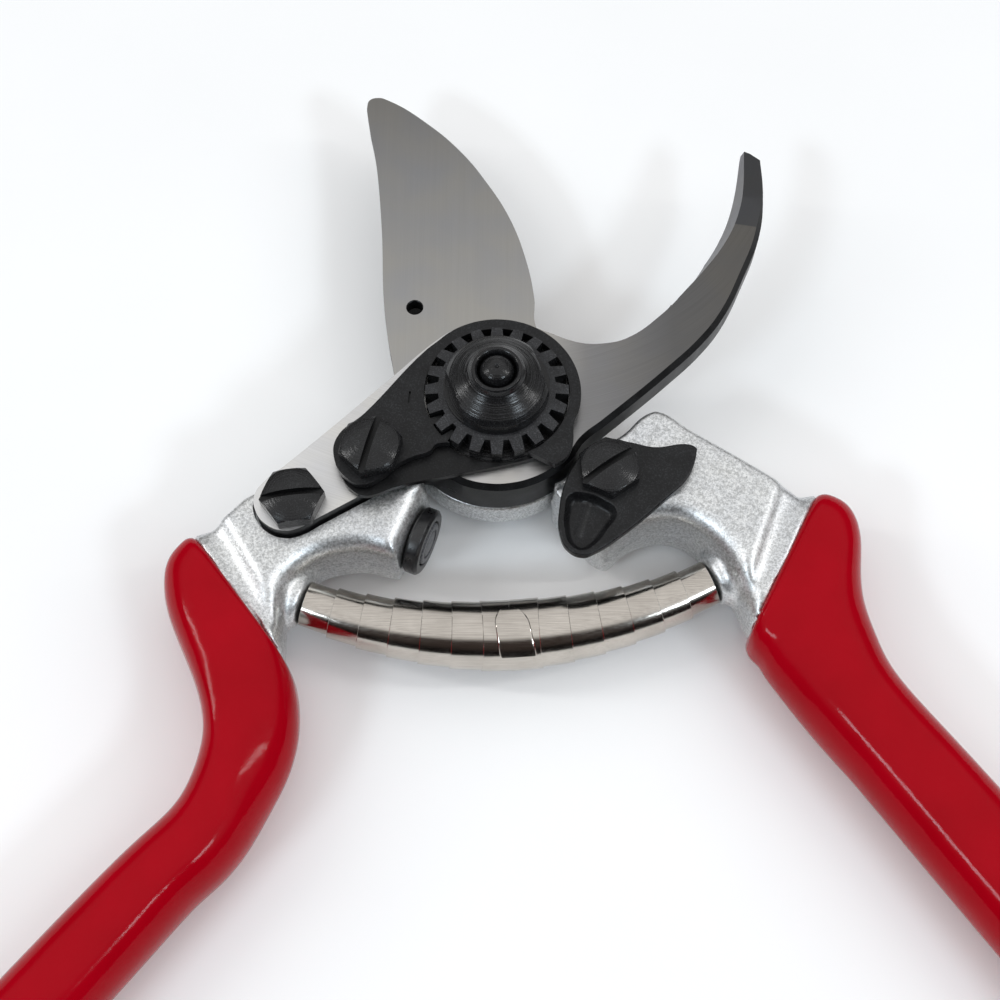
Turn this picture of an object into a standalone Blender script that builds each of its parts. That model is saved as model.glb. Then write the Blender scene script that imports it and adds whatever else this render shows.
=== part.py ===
"""Bypass pruning shears, lying flat and open.

The origin is on the pivot axis at the back of the bolt's head. +Z runs along the bolt to its nut,
and +Y points to the tips. The hook blade and its handle are the left half. The cutting blade and its
handle are the right half, which turns on the bolt. Lengths are in millimetres and MM turns them into metres.
"""

import math

import bmesh
import bpy
from mathutils import Matrix, Vector

MM = 0.001
GAP = 0.3

# Levels along the pivot axis
HEAD_TOP = 3.5
HUB_BACK, HUB_FRONT = 3.8, 9.3
BLADE_BACK, BLADE_FRONT = 9.6, 12.3
HOOK_BACK, HOOK_FRONT = 12.6, 17.3
PLATE_BACK, PLATE_FRONT = 17.6, 18.5
SEGMENT_BACK, SEGMENT_FRONT = 18.8, 20.1
NUT_FLANGE_FRONT, NUT_TOP = 21.6, 27.4
BOLT_TIP = 28.3
LEFT_BACK, LEFT_FRONT = 0.8, 15.3
RIGHT_BACK, RIGHT_FRONT = 0.8, 16.3
CATCH_BACK, CATCH_FRONT = 16.7, 18.3
MID = 8.1

# Radii about the pivot axis
BOLT_HEAD_RADIUS, BOLT_RADIUS = 8.0, 3.6
BUSH_OUTER, BUSH_INNER = 5.4, 3.7
HUB_RADIUS = 15.0
TEETH, TOOTH_TIP, TOOTH_ROOT = 20, 11.0, 9.0
SEGMENT_RADIUS = 12.9
CLOSING_ANGLE = 60.0

# Hexagon-headed screws
SCREW_HEX, SCREW_HEAD, SCREW_SHANK, SCREW_HOLE = 8.5, 3.4, 2.0, 2.3
WASHER_RADIUS, WASHER_THICKNESS, WASHER_SEAT_RADIUS, WASHER_SEAT_DEPTH = 4.2, 0.4, 4.7, 0.7
NUT_MOUTH_RADIUS, NUT_MOUTH_DEPTH, NUT_FLAT_DISTANCE, NUT_FLAT_BEARING = 3.1, 3.0, 7.0, 19.0
PIN_COVER = 0.8
SLOT_WIDTH, SLOT_DEPTH = 1.1, 1.4
TANG_SCREW, TANG_SLOT = (-30.6, -17.05), 8.0
SEGMENT_SCREW, SEGMENT_SLOT = (-18.9, -9.95), 75.0
CATCH_SCREW, CATCH_SLOT = (16.9, -12.35), 35.0
SCREW_DEPTH = 5.0

BUFFER_FACE, BUFFER_ANGLE = (-10.3, -20.3), -22.0
BUFFER_RADIUS, BUFFER_THICKNESS = 5.4, 2.4
DISC_RADIUS, DISC_THICKNESS = 3.4, 1.2

SPRING_ENDS, SPRING_SAG = ((-29.2, -30.0), (32.6, -26.6)), (0.6, -35.2)
SPRING_BANDS, SPRING_END_RADIUS, SPRING_MID_RADIUS = 14, 3.1, 5.5
PEG_RADIUS, PEG_LENGTH = 1.5, 5.0

COAT = 1.5
SECTION_POINTS, SECTION_POWER = 16, 2.4

SHARP = "VECTOR"

# Outlines: x, y and, on a corner, SHARP
HOOK_ARM = [
    (8.6, 12.0), (10.9, 11.0), (13.9, 10.2), (16.8, 10.2), (20.4, 11.1), (26.2, 15.5), (30.4, 20.2),
    (33.9, 24.4), (36.8, 28.5), (39.2, 33.2), (41.2, 40.2), (42.5, 49.0, SHARP), (44.6, 47.3, SHARP),
    (44.4, 40.5), (43.2, 31.5), (40.0, 23.2), (36.2, 15.5), (32.7, 10.8), (27.4, 5.5), (16.8, -3.9),
]
HOOK_TANG = [
    (-14.5, -12.6), (-19.6, -15.6), (-26.7, -19.8), (-29.6, -21.5), (-31.7, -21.9), (-34.4, -20.9),
    (-36.2, -18.6), (-36.5, -16.0), (-35.0, -13.6), (-32.3, -11.2), (-16.3, 4.2),
]
BLADE_EDGE = [
    (6.3, 16.3), (6.1, 21.5), (4.8, 29.0), (2.0, 37.6), (-2.0, 45.0), (-6.0, 50.8), (-12.0, 57.0),
    (-19.3, 62.3), (-20.8, 62.8), (-22.4, 62.3), (-22.8, 61.0), (-22.5, 58.0), (-21.0, 50.0),
    (-19.4, 35.0), (-18.6, 21.0), (-17.8, 14.5), (-16.6, 8.0), (-15.6, 1.0),
]
BLADE_HOLE, BLADE_HOLE_RADIUS = (-13.5, 19.9), 1.4
LOCATING_PIN, PIN_RADIUS = (9.0, -6.0), 1.5

LEFT_BODY = [
    (-43.4, -21.0), (-42.4, -19.2), (-40.4, -17.0), (-38.4, -15.0), (-35.5, -13.6),
    (-31.8, -12.0), (-24.5, -5.0), (-20.0, -1.4), (-17.0, -1.6),
]
LEFT_GUARD = [
    (-10.6, -13.8, SHARP), (-15.1, -24.8, SHARP), (-17.1, -24.4), (-19.8, -23.7), (-22.7, -23.7),
    (-27.3, -25.0), (-30.9, -28.2), (-32.5, -32.0), (-34.0, -33.6),
]
LEFT_NECK = [
    ((-38.5, -17.0), (-31.0, -26.0), 6.4), ((-43.6, -19.4), (-32.0, -33.0), 6.9),
    ((-46.5, -20.0), (-31.7, -38.8), 7.3),
]
RIGHT_BODY = [
    (16.6, -23.2), (18.2, -22.5), (19.9, -20.8), (23.1, -19.2), (26.8, -18.9), (30.4, -20.6),
    (34.0, -24.4), (36.4, -28.4), (38.6, -29.2), (46.0, -16.2), (45.4, -14.2),
    (43.2, -12.6), (38.1, -9.1), (30.0, -3.8), (25.4, -0.7), (23.8, -0.8), (18.6, -5.2), (14.6, -7.2),
]
RIGHT_NECK = [
    ((41.5, -12.6), (33.5, -22.5), 6.6), ((46.6, -13.9), (36.0, -29.3), 6.9),
    ((49.4, -13.2), (37.4, -33.8), 7.3),
]

# Handle stations from the mouth of the grip to its end: outer side, inner side, half thickness
LEFT_STATIONS = [
    ((-46.9, -19.9), (-31.5, -39.8), 7.6), ((-50.0, -23.4), (-30.2, -42.2), 7.9),
    ((-50.6, -27.6), (-29.3, -46.0), 8.0), ((-49.6, -32.4), (-29.1, -50.5), 8.0),
    ((-47.2, -37.8), (-29.8, -55.0), 8.0), ((-44.7, -43.1), (-31.4, -59.3), 8.0),
    ((-43.0, -48.5), (-33.3, -63.1), 8.0), ((-43.1, -53.6), (-35.5, -67.3), 7.9),
    ((-45.3, -60.2), (-38.7, -71.5), 7.8), ((-49.8, -65.1), (-42.2, -74.8), 7.8),
    ((-55.4, -71.0), (-46.6, -80.0), 7.7), ((-63.6, -80.3), (-54.3, -89.2), 7.6),
    ((-73.4, -91.7), (-64.0, -100.5), 7.5), ((-81.8, -101.6), (-72.5, -110.4), 7.4),
]
RIGHT_STATIONS = [
    ((49.9, -12.8), (37.7, -35.8), 7.6), ((54.2, -14.6), (38.2, -38.0), 7.9),
    ((56.0, -19.4), (39.3, -39.4), 8.0), ((55.6, -25.1), (40.2, -41.3), 8.0),
    ((55.6, -30.5), (41.6, -43.5), 8.0), ((56.7, -35.4), (43.6, -46.4), 8.0),
    ((58.2, -40.1), (46.2, -50.0), 8.0), ((61.0, -44.6), (49.2, -53.9), 7.9),
    ((64.7, -49.4), (52.6, -58.2), 7.8), ((72.2, -59.0), (59.8, -68.1), 7.7),
    ((82.3, -72.7), (69.9, -81.8), 7.6), ((90.4, -83.7), (78.0, -92.8), 7.5),
    ((98.4, -94.7), (86.0, -103.8), 7.4),
]
END_ROUNDING = ((3.0, 0.9), (5.0, 0.72), (6.2, 0.4))

SEGMENT_LOBE = [
    (-7.8, -8.6, SHARP), (-9.2, -8.9), (-10.1, -10.0), (-12.7, -11.0), (-15.0, -12.3), (-17.6, -14.6),
    (-20.1, -15.6), (-22.8, -14.2), (-24.5, -11.0), (-24.2, -7.8), (-20.1, -3.6), (-11.0, 7.4),
]
SEGMENT_TOE = [
    (11.4, -9.0), (10.3, -11.2), (8.7, -12.3, SHARP), (4.6, -10.1, SHARP), (3.6, -7.9, SHARP),
    (0.0, -8.5, SHARP), (-4.2, -7.5, SHARP), (-6.2, -6.1, SHARP),
]
HUB_WEB = [(15.8, -15.5), (19.0, -7.0), (9.0, 2.0), (8.5, -8.5)]
PLATE_LOBE = [
    (4.1, -10.9, SHARP), (0.1, -11.9), (-7.0, -13.4), (-15.6, -15.4), (-17.9, -16.4), (-19.9, -16.7),
    (-21.6, -15.9), (-23.3, -13.7), (-24.1, -10.9), (-23.8, -7.9), (-19.9, -4.0), (-11.0, 6.6),
]
CATCH = [
    (30.5, -8.6, SHARP), (29.5, -8.0), (23.9, -8.4), (20.4, -7.6), (17.0, -7.0), (14.4, -8.1), (12.1, -10.6),
    (10.4, -13.9), (9.3, -18.6), (9.3, -22.7), (10.4, -25.1), (12.7, -26.2), (14.5, -25.6), (18.0, -23.3),
    (25.6, -16.8), (28.6, -13.9), (30.0, -10.9),
]


def new_collection(name):
    collection = bpy.data.collections.new(name)
    bpy.context.scene.collection.children.link(collection)
    return collection


for old in list(bpy.data.objects):
    bpy.data.objects.remove(old)
PARTS = new_collection("pruning_shears")
CUTTERS = new_collection("cutters")


def material(name, color, roughness, metallic):
    made = bpy.data.materials.new(name)
    made.use_nodes = True
    shader = made.node_tree.nodes["Principled BSDF"]
    shader.inputs["Base Color"].default_value = (*color, 1)
    shader.inputs["Roughness"].default_value = roughness
    shader.inputs["Metallic"].default_value = metallic
    return made


def object_of(name, mesh):
    made = bpy.data.objects.new(name, mesh)
    PARTS.objects.link(made)
    return made


def as_cutter(obj):
    """Moves a helper to the cutters, out of the render."""
    PARTS.objects.unlink(obj)
    CUTTERS.objects.link(obj)
    obj.hide_render = True
    obj.display_type = "WIRE"
    return obj


def boolean(obj, operation, other):
    step = obj.modifiers.new(operation.lower(), "BOOLEAN")
    step.operation = operation
    step.object = as_cutter(other)


def cut(obj, other):
    boolean(obj, "DIFFERENCE", other)


def join(obj, other):
    boolean(obj, "UNION", other)


def bevel(obj, width, segments=2, angle=40):
    step = obj.modifiers.new("bevel", "BEVEL")
    step.width = width * MM
    step.segments = segments
    step.limit_method = "ANGLE"
    step.loop_slide = False
    step.angle_limit = math.radians(angle)


def finish(obj, made_of):
    obj.data.materials.clear()
    obj.data.materials.append(made_of)
    obj.data.shade_smooth()
    return obj


def arc(radius, start, end, count, centre=(0, 0)):
    """Points on a circle from one bearing to another, in degrees."""
    step = (end - start) / (count - 1)
    return [polar(radius, start + i * step, centre) for i in range(count)]


def polar(radius, bearing, centre=(0, 0)):
    turn = math.radians(bearing)
    return (centre[0] + radius * math.cos(turn), centre[1] + radius * math.sin(turn))


def slab(name, outline, back, front, steps=3):
    """A flat piece: the outline as a 2D curve with filled faces, made into a welded mesh."""
    curve = bpy.data.curves.new(name, "CURVE")
    curve.dimensions = "2D"
    curve.fill_mode = "BOTH"
    curve.extrude = (front - back) / 2 * MM
    curve.resolution_u = steps
    spline = curve.splines.new("BEZIER")
    spline.bezier_points.add(len(outline) - 1)
    spline.use_cyclic_u = True
    for knot, point in zip(spline.bezier_points, outline):
        knot.co = Vector((point[0], point[1], 0)) * MM
        kind = point[2] if len(point) > 2 else "AUTO"
        knot.handle_left_type = kind
        knot.handle_right_type = kind
    guide = object_of(name, curve)
    guide.location.z = (front + back) / 2 * MM
    return welded(name, guide)


def welded(name, guide):
    """The curve's mesh in world space with its caps joined, in place of the curve."""
    bpy.context.view_layer.update()
    graph = bpy.context.evaluated_depsgraph_get()
    mesh = bpy.data.meshes.new_from_object(guide.evaluated_get(graph))
    mesh.transform(guide.matrix_world)
    bpy.data.objects.remove(guide)
    shape = bmesh.new()
    shape.from_mesh(mesh)
    bmesh.ops.remove_doubles(shape, verts=shape.verts, dist=0.01 * MM)
    bmesh.ops.recalc_face_normals(shape, faces=shape.faces)
    shape.to_mesh(mesh)
    shape.free()
    mesh.name = name
    return object_of(name, mesh)


def cylinder(name, radius, back, front, centre=(0, 0), sides=32, turn=0):
    """An upright round or many-sided bar."""
    mesh = bpy.data.meshes.new(name)
    shape = bmesh.new()
    bmesh.ops.create_cone(
        shape, cap_ends=True, segments=sides, radius1=radius * MM, radius2=radius * MM,
        depth=(front - back) * MM, matrix=Matrix.Translation((0, 0, (front + back) / 2 * MM)),
    )
    shape.to_mesh(mesh)
    shape.free()
    made = object_of(name, mesh)
    made.location = Vector((*centre, 0)) * MM
    made.rotation_euler.z = math.radians(turn)
    return made


def box(name, size, centre, turn=0):
    mesh = bpy.data.meshes.new(name)
    shape = bmesh.new()
    bmesh.ops.create_cube(shape, size=1)
    bmesh.ops.scale(shape, vec=Vector(size) * MM, verts=shape.verts)
    shape.to_mesh(mesh)
    shape.free()
    made = object_of(name, mesh)
    made.location = Vector(centre) * MM
    made.rotation_euler.z = math.radians(turn)
    return made


def turned(name, profile, sides=32):
    """A piece turned about Z from (radius, height) points that run from its top to its bottom."""
    mesh = bpy.data.meshes.new(name)
    mesh.from_pydata(
        [(radius * MM, 0, height * MM) for radius, height in profile],
        [(i, i + 1) for i in range(len(profile) - 1)],
        [],
    )
    made = object_of(name, mesh)
    screw = made.modifiers.new("screw", "SCREW")
    screw.steps = sides
    screw.render_steps = sides
    screw.use_merge_vertices = True
    screw.merge_threshold = 1e-6
    return made


def lay_along(obj, place, bearing, height=MID):
    """Lays an upright piece down, so that its +Z points along a bearing in the plane."""
    obj.location = Vector((place[0], place[1], height)) * MM
    obj.rotation_euler = (0, math.radians(90), math.radians(bearing))
    return obj


def section(outer, inner, half, inset):
    """One rounded cross-section of a handle, standing on the line from its outer side to its inner side."""
    across = Vector(inner) - Vector(outer)
    middle = (Vector(inner) + Vector(outer)) / 2
    reach = across.normalized() * (across.length / 2 - inset)
    ring = []
    for i in range(SECTION_POINTS):
        turn = 2 * math.pi * i / SECTION_POINTS
        side = math.copysign(abs(math.cos(turn)) ** (2 / SECTION_POWER), math.cos(turn))
        rise = math.copysign(abs(math.sin(turn)) ** (2 / SECTION_POWER), math.sin(turn))
        point = middle + reach * side
        ring.append(Vector((point.x, point.y, MID + (half - inset) * rise)) * MM)
    return ring


def loft(name, rings):
    """A closed skin over unlike rings of points, for the handles' changing sections."""
    shape = bmesh.new()
    rows = [[shape.verts.new(point) for point in ring] for ring in rings]
    for low, high in zip(rows, rows[1:]):
        for i in range(len(low)):
            j = (i + 1) % len(low)
            shape.faces.new((low[i], low[j], high[j], high[i]))
    shape.faces.new(rows[0])
    shape.faces.new(rows[-1])
    bmesh.ops.recalc_face_normals(shape, faces=shape.faces)
    mesh = bpy.data.meshes.new(name)
    shape.to_mesh(mesh)
    shape.free()
    return object_of(name, mesh)


def shifted(station, way, scale=1.0):
    """A station moved along the handle and, for a rounded end, shrunk about its middle."""
    outer, inner, half = Vector(station[0]), Vector(station[1]), station[2]
    middle = (outer + inner) / 2
    outer, inner = (middle + (side - middle) * scale + way for side in (outer, inner))
    return (tuple(outer), tuple(inner), half * scale)


def along(first, second):
    """The unit vector from one station's middle to the next one's."""
    return ((Vector(second[0]) + Vector(second[1])) - (Vector(first[0]) + Vector(first[1]))).normalized()


def grip(name, stations):
    """A dipped sleeve: the handle's outer skin with a socket for the casting's core."""
    way = along(stations[-2], stations[-1])
    tail = [shifted(stations[-1], way * reach, scale) for reach, scale in END_ROUNDING]
    mouth = shifted(stations[0], along(*stations[:2]) * GAP)
    skin = [section(*station, 0) for station in [mouth, *stations[1:], *tail]]
    sleeve = loft(name, skin)
    cut(sleeve, core(name + "_socket", stations, COAT))
    return sleeve


def core(name, stations, inset):
    """The tapered bar inside a grip, from a little before the grip's mouth."""
    root = shifted(stations[0], along(*stations[:2]) * -4)
    end = shifted(stations[-1], along(*stations[-2:]) * (GAP - inset + COAT))
    return loft(name, [section(*station, inset) for station in [root, *stations[:-1], end]])


def screw(name, centre, seat, slot_turn, depth):
    """A slotted hexagon-headed screw standing on a seat."""
    head = cylinder(name, SCREW_HEX / math.sqrt(3), seat + GAP, seat + SCREW_HEAD, centre, 6, turn=slot_turn)
    bevel(head, 0.5, 1, 80)
    join(head, cylinder(name + "_shank", SCREW_SHANK, seat - depth, seat + 1, centre, 16))
    slot_centre = (*centre, seat + SCREW_HEAD)
    cut(head, box(name + "_slot", (20, SLOT_WIDTH, 2 * SLOT_DEPTH), slot_centre, slot_turn))
    return head


def screw_hole(obj, centre, back, front):
    cut(obj, cylinder(obj.name + "_hole", SCREW_HOLE, back, front, centre, 16))


def toothed(tip, root, fill, first=0.0, last=360.0):
    """Points round a row of teeth about the pivot, sharp at every corner."""
    pitch = 360 / TEETH
    points = []
    for i in range(round(first / pitch), round(last / pitch)):
        foot = 0.5 * fill + 0.1
        for radius, turn in ((root, -0.5), (root, -foot), (tip, -0.2), (tip, 0.2), (root, foot)):
            points.append((*polar(radius, (i + turn) * pitch), SHARP))
    return points


def spring_line():
    """Centre points and radii of the spring: a circular arc with bands that step up to the middle."""
    (ax, ay), (bx, by), (cx, cy) = SPRING_ENDS[0], SPRING_SAG, SPRING_ENDS[1]
    scale = 2 * (ax * (by - cy) + bx * (cy - ay) + cx * (ay - by))
    aa, bb, cc = ax * ax + ay * ay, bx * bx + by * by, cx * cx + cy * cy
    centre = (
        (aa * (by - cy) + bb * (cy - ay) + cc * (ay - by)) / scale,
        (aa * (cx - bx) + bb * (ax - cx) + cc * (bx - ax)) / scale,
    )
    radius = math.dist(centre, SPRING_SAG)
    start = math.degrees(math.atan2(ay - centre[1], ax - centre[0]))
    end = math.degrees(math.atan2(cy - centre[1], cx - centre[0]))
    return centre, radius, start, end


def make_spring():
    centre, radius, start, end = spring_line()
    curve = bpy.data.curves.new("volute_spring", "CURVE")
    curve.dimensions = "3D"
    curve.bevel_depth = MM
    curve.bevel_resolution = 2
    curve.use_fill_caps = True
    spline = curve.splines.new("POLY")
    spline.points.add(2 * SPRING_BANDS - 1)
    for band in range(SPRING_BANDS):
        height = 1 - abs(2 * (band + 0.5) / SPRING_BANDS - 1)
        thickness = SPRING_END_RADIUS + (SPRING_MID_RADIUS - SPRING_END_RADIUS) * height**0.8
        for side in (0, 1):
            share = (band + 0.02 + 0.96 * side) / SPRING_BANDS
            place = polar(radius, start + (end - start) * share, centre)
            knot = spline.points[2 * band + side]
            knot.co = (place[0] * MM, place[1] * MM, MID * MM, 1)
            knot.radius = thickness
    spring = welded("volute_spring", object_of("volute_spring", curve))
    for place, bearing in peg_places():
        socket = cylinder("peg_socket", PEG_RADIUS + GAP, -8, PEG_LENGTH + 1, sides=16)
        cut(spring, lay_along(socket, place, bearing))
    return spring


def peg_places():
    """Where each spring peg stands and which way it points along the spring."""
    _, _, start, end = spring_line()
    return ((SPRING_ENDS[0], start + 90), (SPRING_ENDS[1], end - 90))


def add_peg(casting, place, bearing):
    peg = cylinder(casting.name + "_peg", PEG_RADIUS, -6, PEG_LENGTH, sides=16)
    join(casting, lay_along(peg, place, bearing))
    seat = cylinder(casting.name + "_seat", SPRING_END_RADIUS + 0.8, -5, -GAP, sides=16)
    join(casting, lay_along(seat, place, bearing))


def make_left_handle():
    outline = LEFT_BODY + arc(16.4, 190, 228, 6) + LEFT_GUARD
    casting = slab("left_handle", outline, LEFT_BACK, LEFT_FRONT)
    bevel(casting, 2.0)
    join(casting, loft("left_neck", [section(*station, 0) for station in LEFT_NECK]))
    join(casting, core("left_core", LEFT_STATIONS, COAT + GAP))
    pocket = slab("tang_pocket", hook_outline(0.6), HOOK_BACK - GAP, HOOK_FRONT)
    cut(casting, pocket)
    for centre in (TANG_SCREW, SEGMENT_SCREW):
        screw_hole(casting, centre, HOOK_BACK - SCREW_DEPTH - 1, HOOK_BACK + 1)
    stem = cylinder("buffer_hole", 2.3, -8, 0, sides=16)
    cut(casting, lay_along(stem, BUFFER_FACE, BUFFER_ANGLE))
    place, bearing = peg_places()[0]
    add_peg(casting, place, bearing)
    return casting


def make_right_handle():
    outline = RIGHT_BODY + arc(HUB_RADIUS + 0.8, -28, -58, 6)
    casting = slab("right_handle", outline, RIGHT_BACK, RIGHT_FRONT)
    bevel(casting, 2.0)
    join(casting, loft("right_neck", [section(*station, 0) for station in RIGHT_NECK]))
    join(casting, core("right_core", RIGHT_STATIONS, COAT + GAP))
    hub = cylinder("right_hub", HUB_RADIUS, HUB_BACK, HUB_FRONT, sides=64)
    join(casting, hub)
    join(casting, slab("hub_web", HUB_WEB, HUB_BACK + 0.2, HUB_FRONT - 0.2))
    face_angle = BUFFER_ANGLE + CLOSING_ANGLE
    strike_middle = polar(GAP - 10, face_angle, rotate(BUFFER_FACE, CLOSING_ANGLE))
    strike = box("strike_face", (20, 60, 40), (*strike_middle, MID), face_angle)
    cut(strike, cylinder("hub_keep", HUB_RADIUS + 0.6, -20, 40, sides=64))
    cut(casting, strike)
    cut(casting, cylinder("bush_hole", BUSH_OUTER + GAP, 0, HUB_FRONT + 1, sides=48))
    screw_hole(casting, CATCH_SCREW, RIGHT_FRONT - SCREW_DEPTH - 1, RIGHT_FRONT + 1)
    seat = RIGHT_FRONT - WASHER_SEAT_DEPTH
    cut(casting, cylinder("washer_seat", WASHER_SEAT_RADIUS, seat, RIGHT_FRONT + 1, CATCH_SCREW, 24))
    cut(casting, cylinder("pin_hole", PIN_RADIUS + GAP, HUB_BACK + 1, HUB_FRONT + 1, LOCATING_PIN, 16))
    place, bearing = peg_places()[1]
    add_peg(casting, place, bearing)
    return casting


def rotate(point, degrees):
    turn = math.radians(degrees)
    x, y = point
    return (x * math.cos(turn) - y * math.sin(turn), x * math.sin(turn) + y * math.cos(turn))


def grown(outline, distance):
    """An anticlockwise outline moved outwards."""
    places = [Vector(point[:2]) for point in outline]
    moved = []
    for i, place in enumerate(places):
        side = places[(i + 1) % len(places)] - places[i - 1]
        out = Vector((side.y, -side.x)).normalized()
        moved.append((*(place + out * distance), *outline[i][2:]))
    return moved


def hook_outline(grow=0.0):
    """The hook, the round hub and the tang, anticlockwise."""
    clockwise = HOOK_ARM + arc(HUB_RADIUS, -27, -122, 8) + HOOK_TANG + arc(HUB_RADIUS - 0.6, 134, 65, 6)
    return grown(clockwise[::-1], grow)


def make_counter_blade():
    blade = slab("counter_blade", hook_outline(), HOOK_BACK, HOOK_FRONT)
    bevel(blade, 0.5, 1)
    cut(blade, cylinder("hook_bore", BOLT_RADIUS + GAP, HOOK_BACK - 1, HOOK_FRONT + 1, sides=48))
    for centre in (TANG_SCREW, SEGMENT_SCREW):
        screw_hole(blade, centre, HOOK_BACK - 1, HOOK_FRONT + 1)
    return blade


def make_cutting_blade():
    heel = arc(HUB_RADIUS - 0.2, 200, 410, 14)
    blade = slab("cutting_blade", BLADE_EDGE + heel, BLADE_BACK, BLADE_FRONT)
    cut(blade, cylinder("blade_bore", BUSH_OUTER + GAP, BLADE_BACK - 1, BLADE_FRONT + 1, sides=48))
    cut(blade, cylinder("sap_hole", BLADE_HOLE_RADIUS, BLADE_BACK - 1, BLADE_FRONT + 1, BLADE_HOLE, 16))
    pin_top = BLADE_FRONT - PIN_COVER
    cut(blade, cylinder("blade_pin", PIN_RADIUS + GAP, BLADE_BACK - 1, pin_top, LOCATING_PIN, 16))
    return blade


def make_segment():
    """The toothed segment: a ring round the nut, open at the bottom, with a lobe under its screw."""
    ring = arc(SEGMENT_RADIUS, 137, -25, 14)
    segment = slab("toothed_segment", (SEGMENT_LOBE + ring + SEGMENT_TOE)[::-1], SEGMENT_BACK, SEGMENT_FRONT)
    bevel(segment, 0.25, 1)
    space = toothed(TOOTH_TIP + GAP, TOOTH_ROOT + GAP, 0.5)
    cut(segment, slab("nut_space", space, SEGMENT_BACK - 1, SEGMENT_FRONT + 1, 1))
    screw_hole(segment, SEGMENT_SCREW, SEGMENT_BACK - 1, SEGMENT_FRONT + 1)
    return segment


def make_segment_plate():
    ring = arc(SEGMENT_RADIUS - 0.7, 137, -50, 16)
    plate = slab("segment_plate", (PLATE_LOBE + ring)[::-1], PLATE_BACK, PLATE_FRONT)
    cut(plate, cylinder("nut_clearance", TOOTH_TIP + GAP, PLATE_BACK - 1, PLATE_FRONT + 1, sides=48))
    screw_hole(plate, SEGMENT_SCREW, PLATE_BACK - 1, PLATE_FRONT + 1)
    return plate


def make_nut():
    nut = slab("pivot_nut", toothed(TOOTH_TIP, TOOTH_ROOT, 0.3), PLATE_BACK, NUT_FLANGE_FRONT, 1)
    slope = [(3.7, NUT_TOP), (4.0, 26.6), (5.4, 25.4), (8.1, 23.4), (8.3, 22.4), (8.3, 20.0)]
    dome = turned("nut_dome", [(0, NUT_TOP), *slope, (0, 20.0)])
    for side in (-1, 1):
        place = polar(side * (NUT_FLAT_DISTANCE + 5), NUT_FLAT_BEARING)
        cut(dome, box("nut_flat", (10, 30, 12), (*place, 28), NUT_FLAT_BEARING))
    join(nut, dome)
    cut(nut, cylinder("nut_bore", BOLT_RADIUS + GAP, 0, NUT_TOP - 2, sides=32))
    cut(nut, cylinder("nut_mouth", NUT_MOUTH_RADIUS, NUT_TOP - NUT_MOUTH_DEPTH, NUT_TOP + 1, sides=32))
    return nut


def make_bolt():
    tip = [(0, BOLT_TIP), (1.5, BOLT_TIP - 0.2), (2.4, BOLT_TIP - 0.8), (2.7, BOLT_TIP - 1.6)]
    tip += [(2.7, NUT_TOP - 2.4)]
    shank = [(BOLT_RADIUS, NUT_TOP - 2.4), (BOLT_RADIUS, HEAD_TOP)]
    head = [(BOLT_HEAD_RADIUS, HEAD_TOP), (BOLT_HEAD_RADIUS, 0.6), (BOLT_HEAD_RADIUS - 0.6, 0), (0, 0)]
    return turned("pivot_bolt", tip + shank + head, 48)


def tube(name, outer, inner, back, front, centre=(0, 0), sides=48):
    made = cylinder(name, outer, back, front, centre, sides)
    cut(made, cylinder(name + "_bore", inner, back - 1, front + 1, centre, sides))
    return made


def make_catch():
    catch = slab("thumb_catch", CATCH[::-1], CATCH_BACK, CATCH_FRONT)
    bevel(catch, 0.3, 1)
    screw_hole(catch, CATCH_SCREW, CATCH_BACK - 1, CATCH_FRONT + 1)
    return catch


def buffer_piece(name, radius, back, front, sides=32):
    return lay_along(cylinder(name, radius, back, front, sides=sides), BUFFER_FACE, BUFFER_ANGLE)


def make_buffer():
    """A rubber cup with a stem, and the steel disc that sits in it."""
    back = -BUFFER_THICKNESS - 0.2
    rubber = buffer_piece("buffer_rubber", BUFFER_RADIUS, back, -0.2)
    bevel(rubber, 0.4, 1)
    join(rubber, buffer_piece("buffer_stem", 2.0, back - 4, back + 1, 16))
    cut(rubber, buffer_piece("buffer_recess", DISC_RADIUS + GAP, -DISC_THICKNESS - GAP, 1))
    disc = buffer_piece("buffer_disc", DISC_RADIUS, -DISC_THICKNESS, 0)
    return rubber, disc


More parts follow.
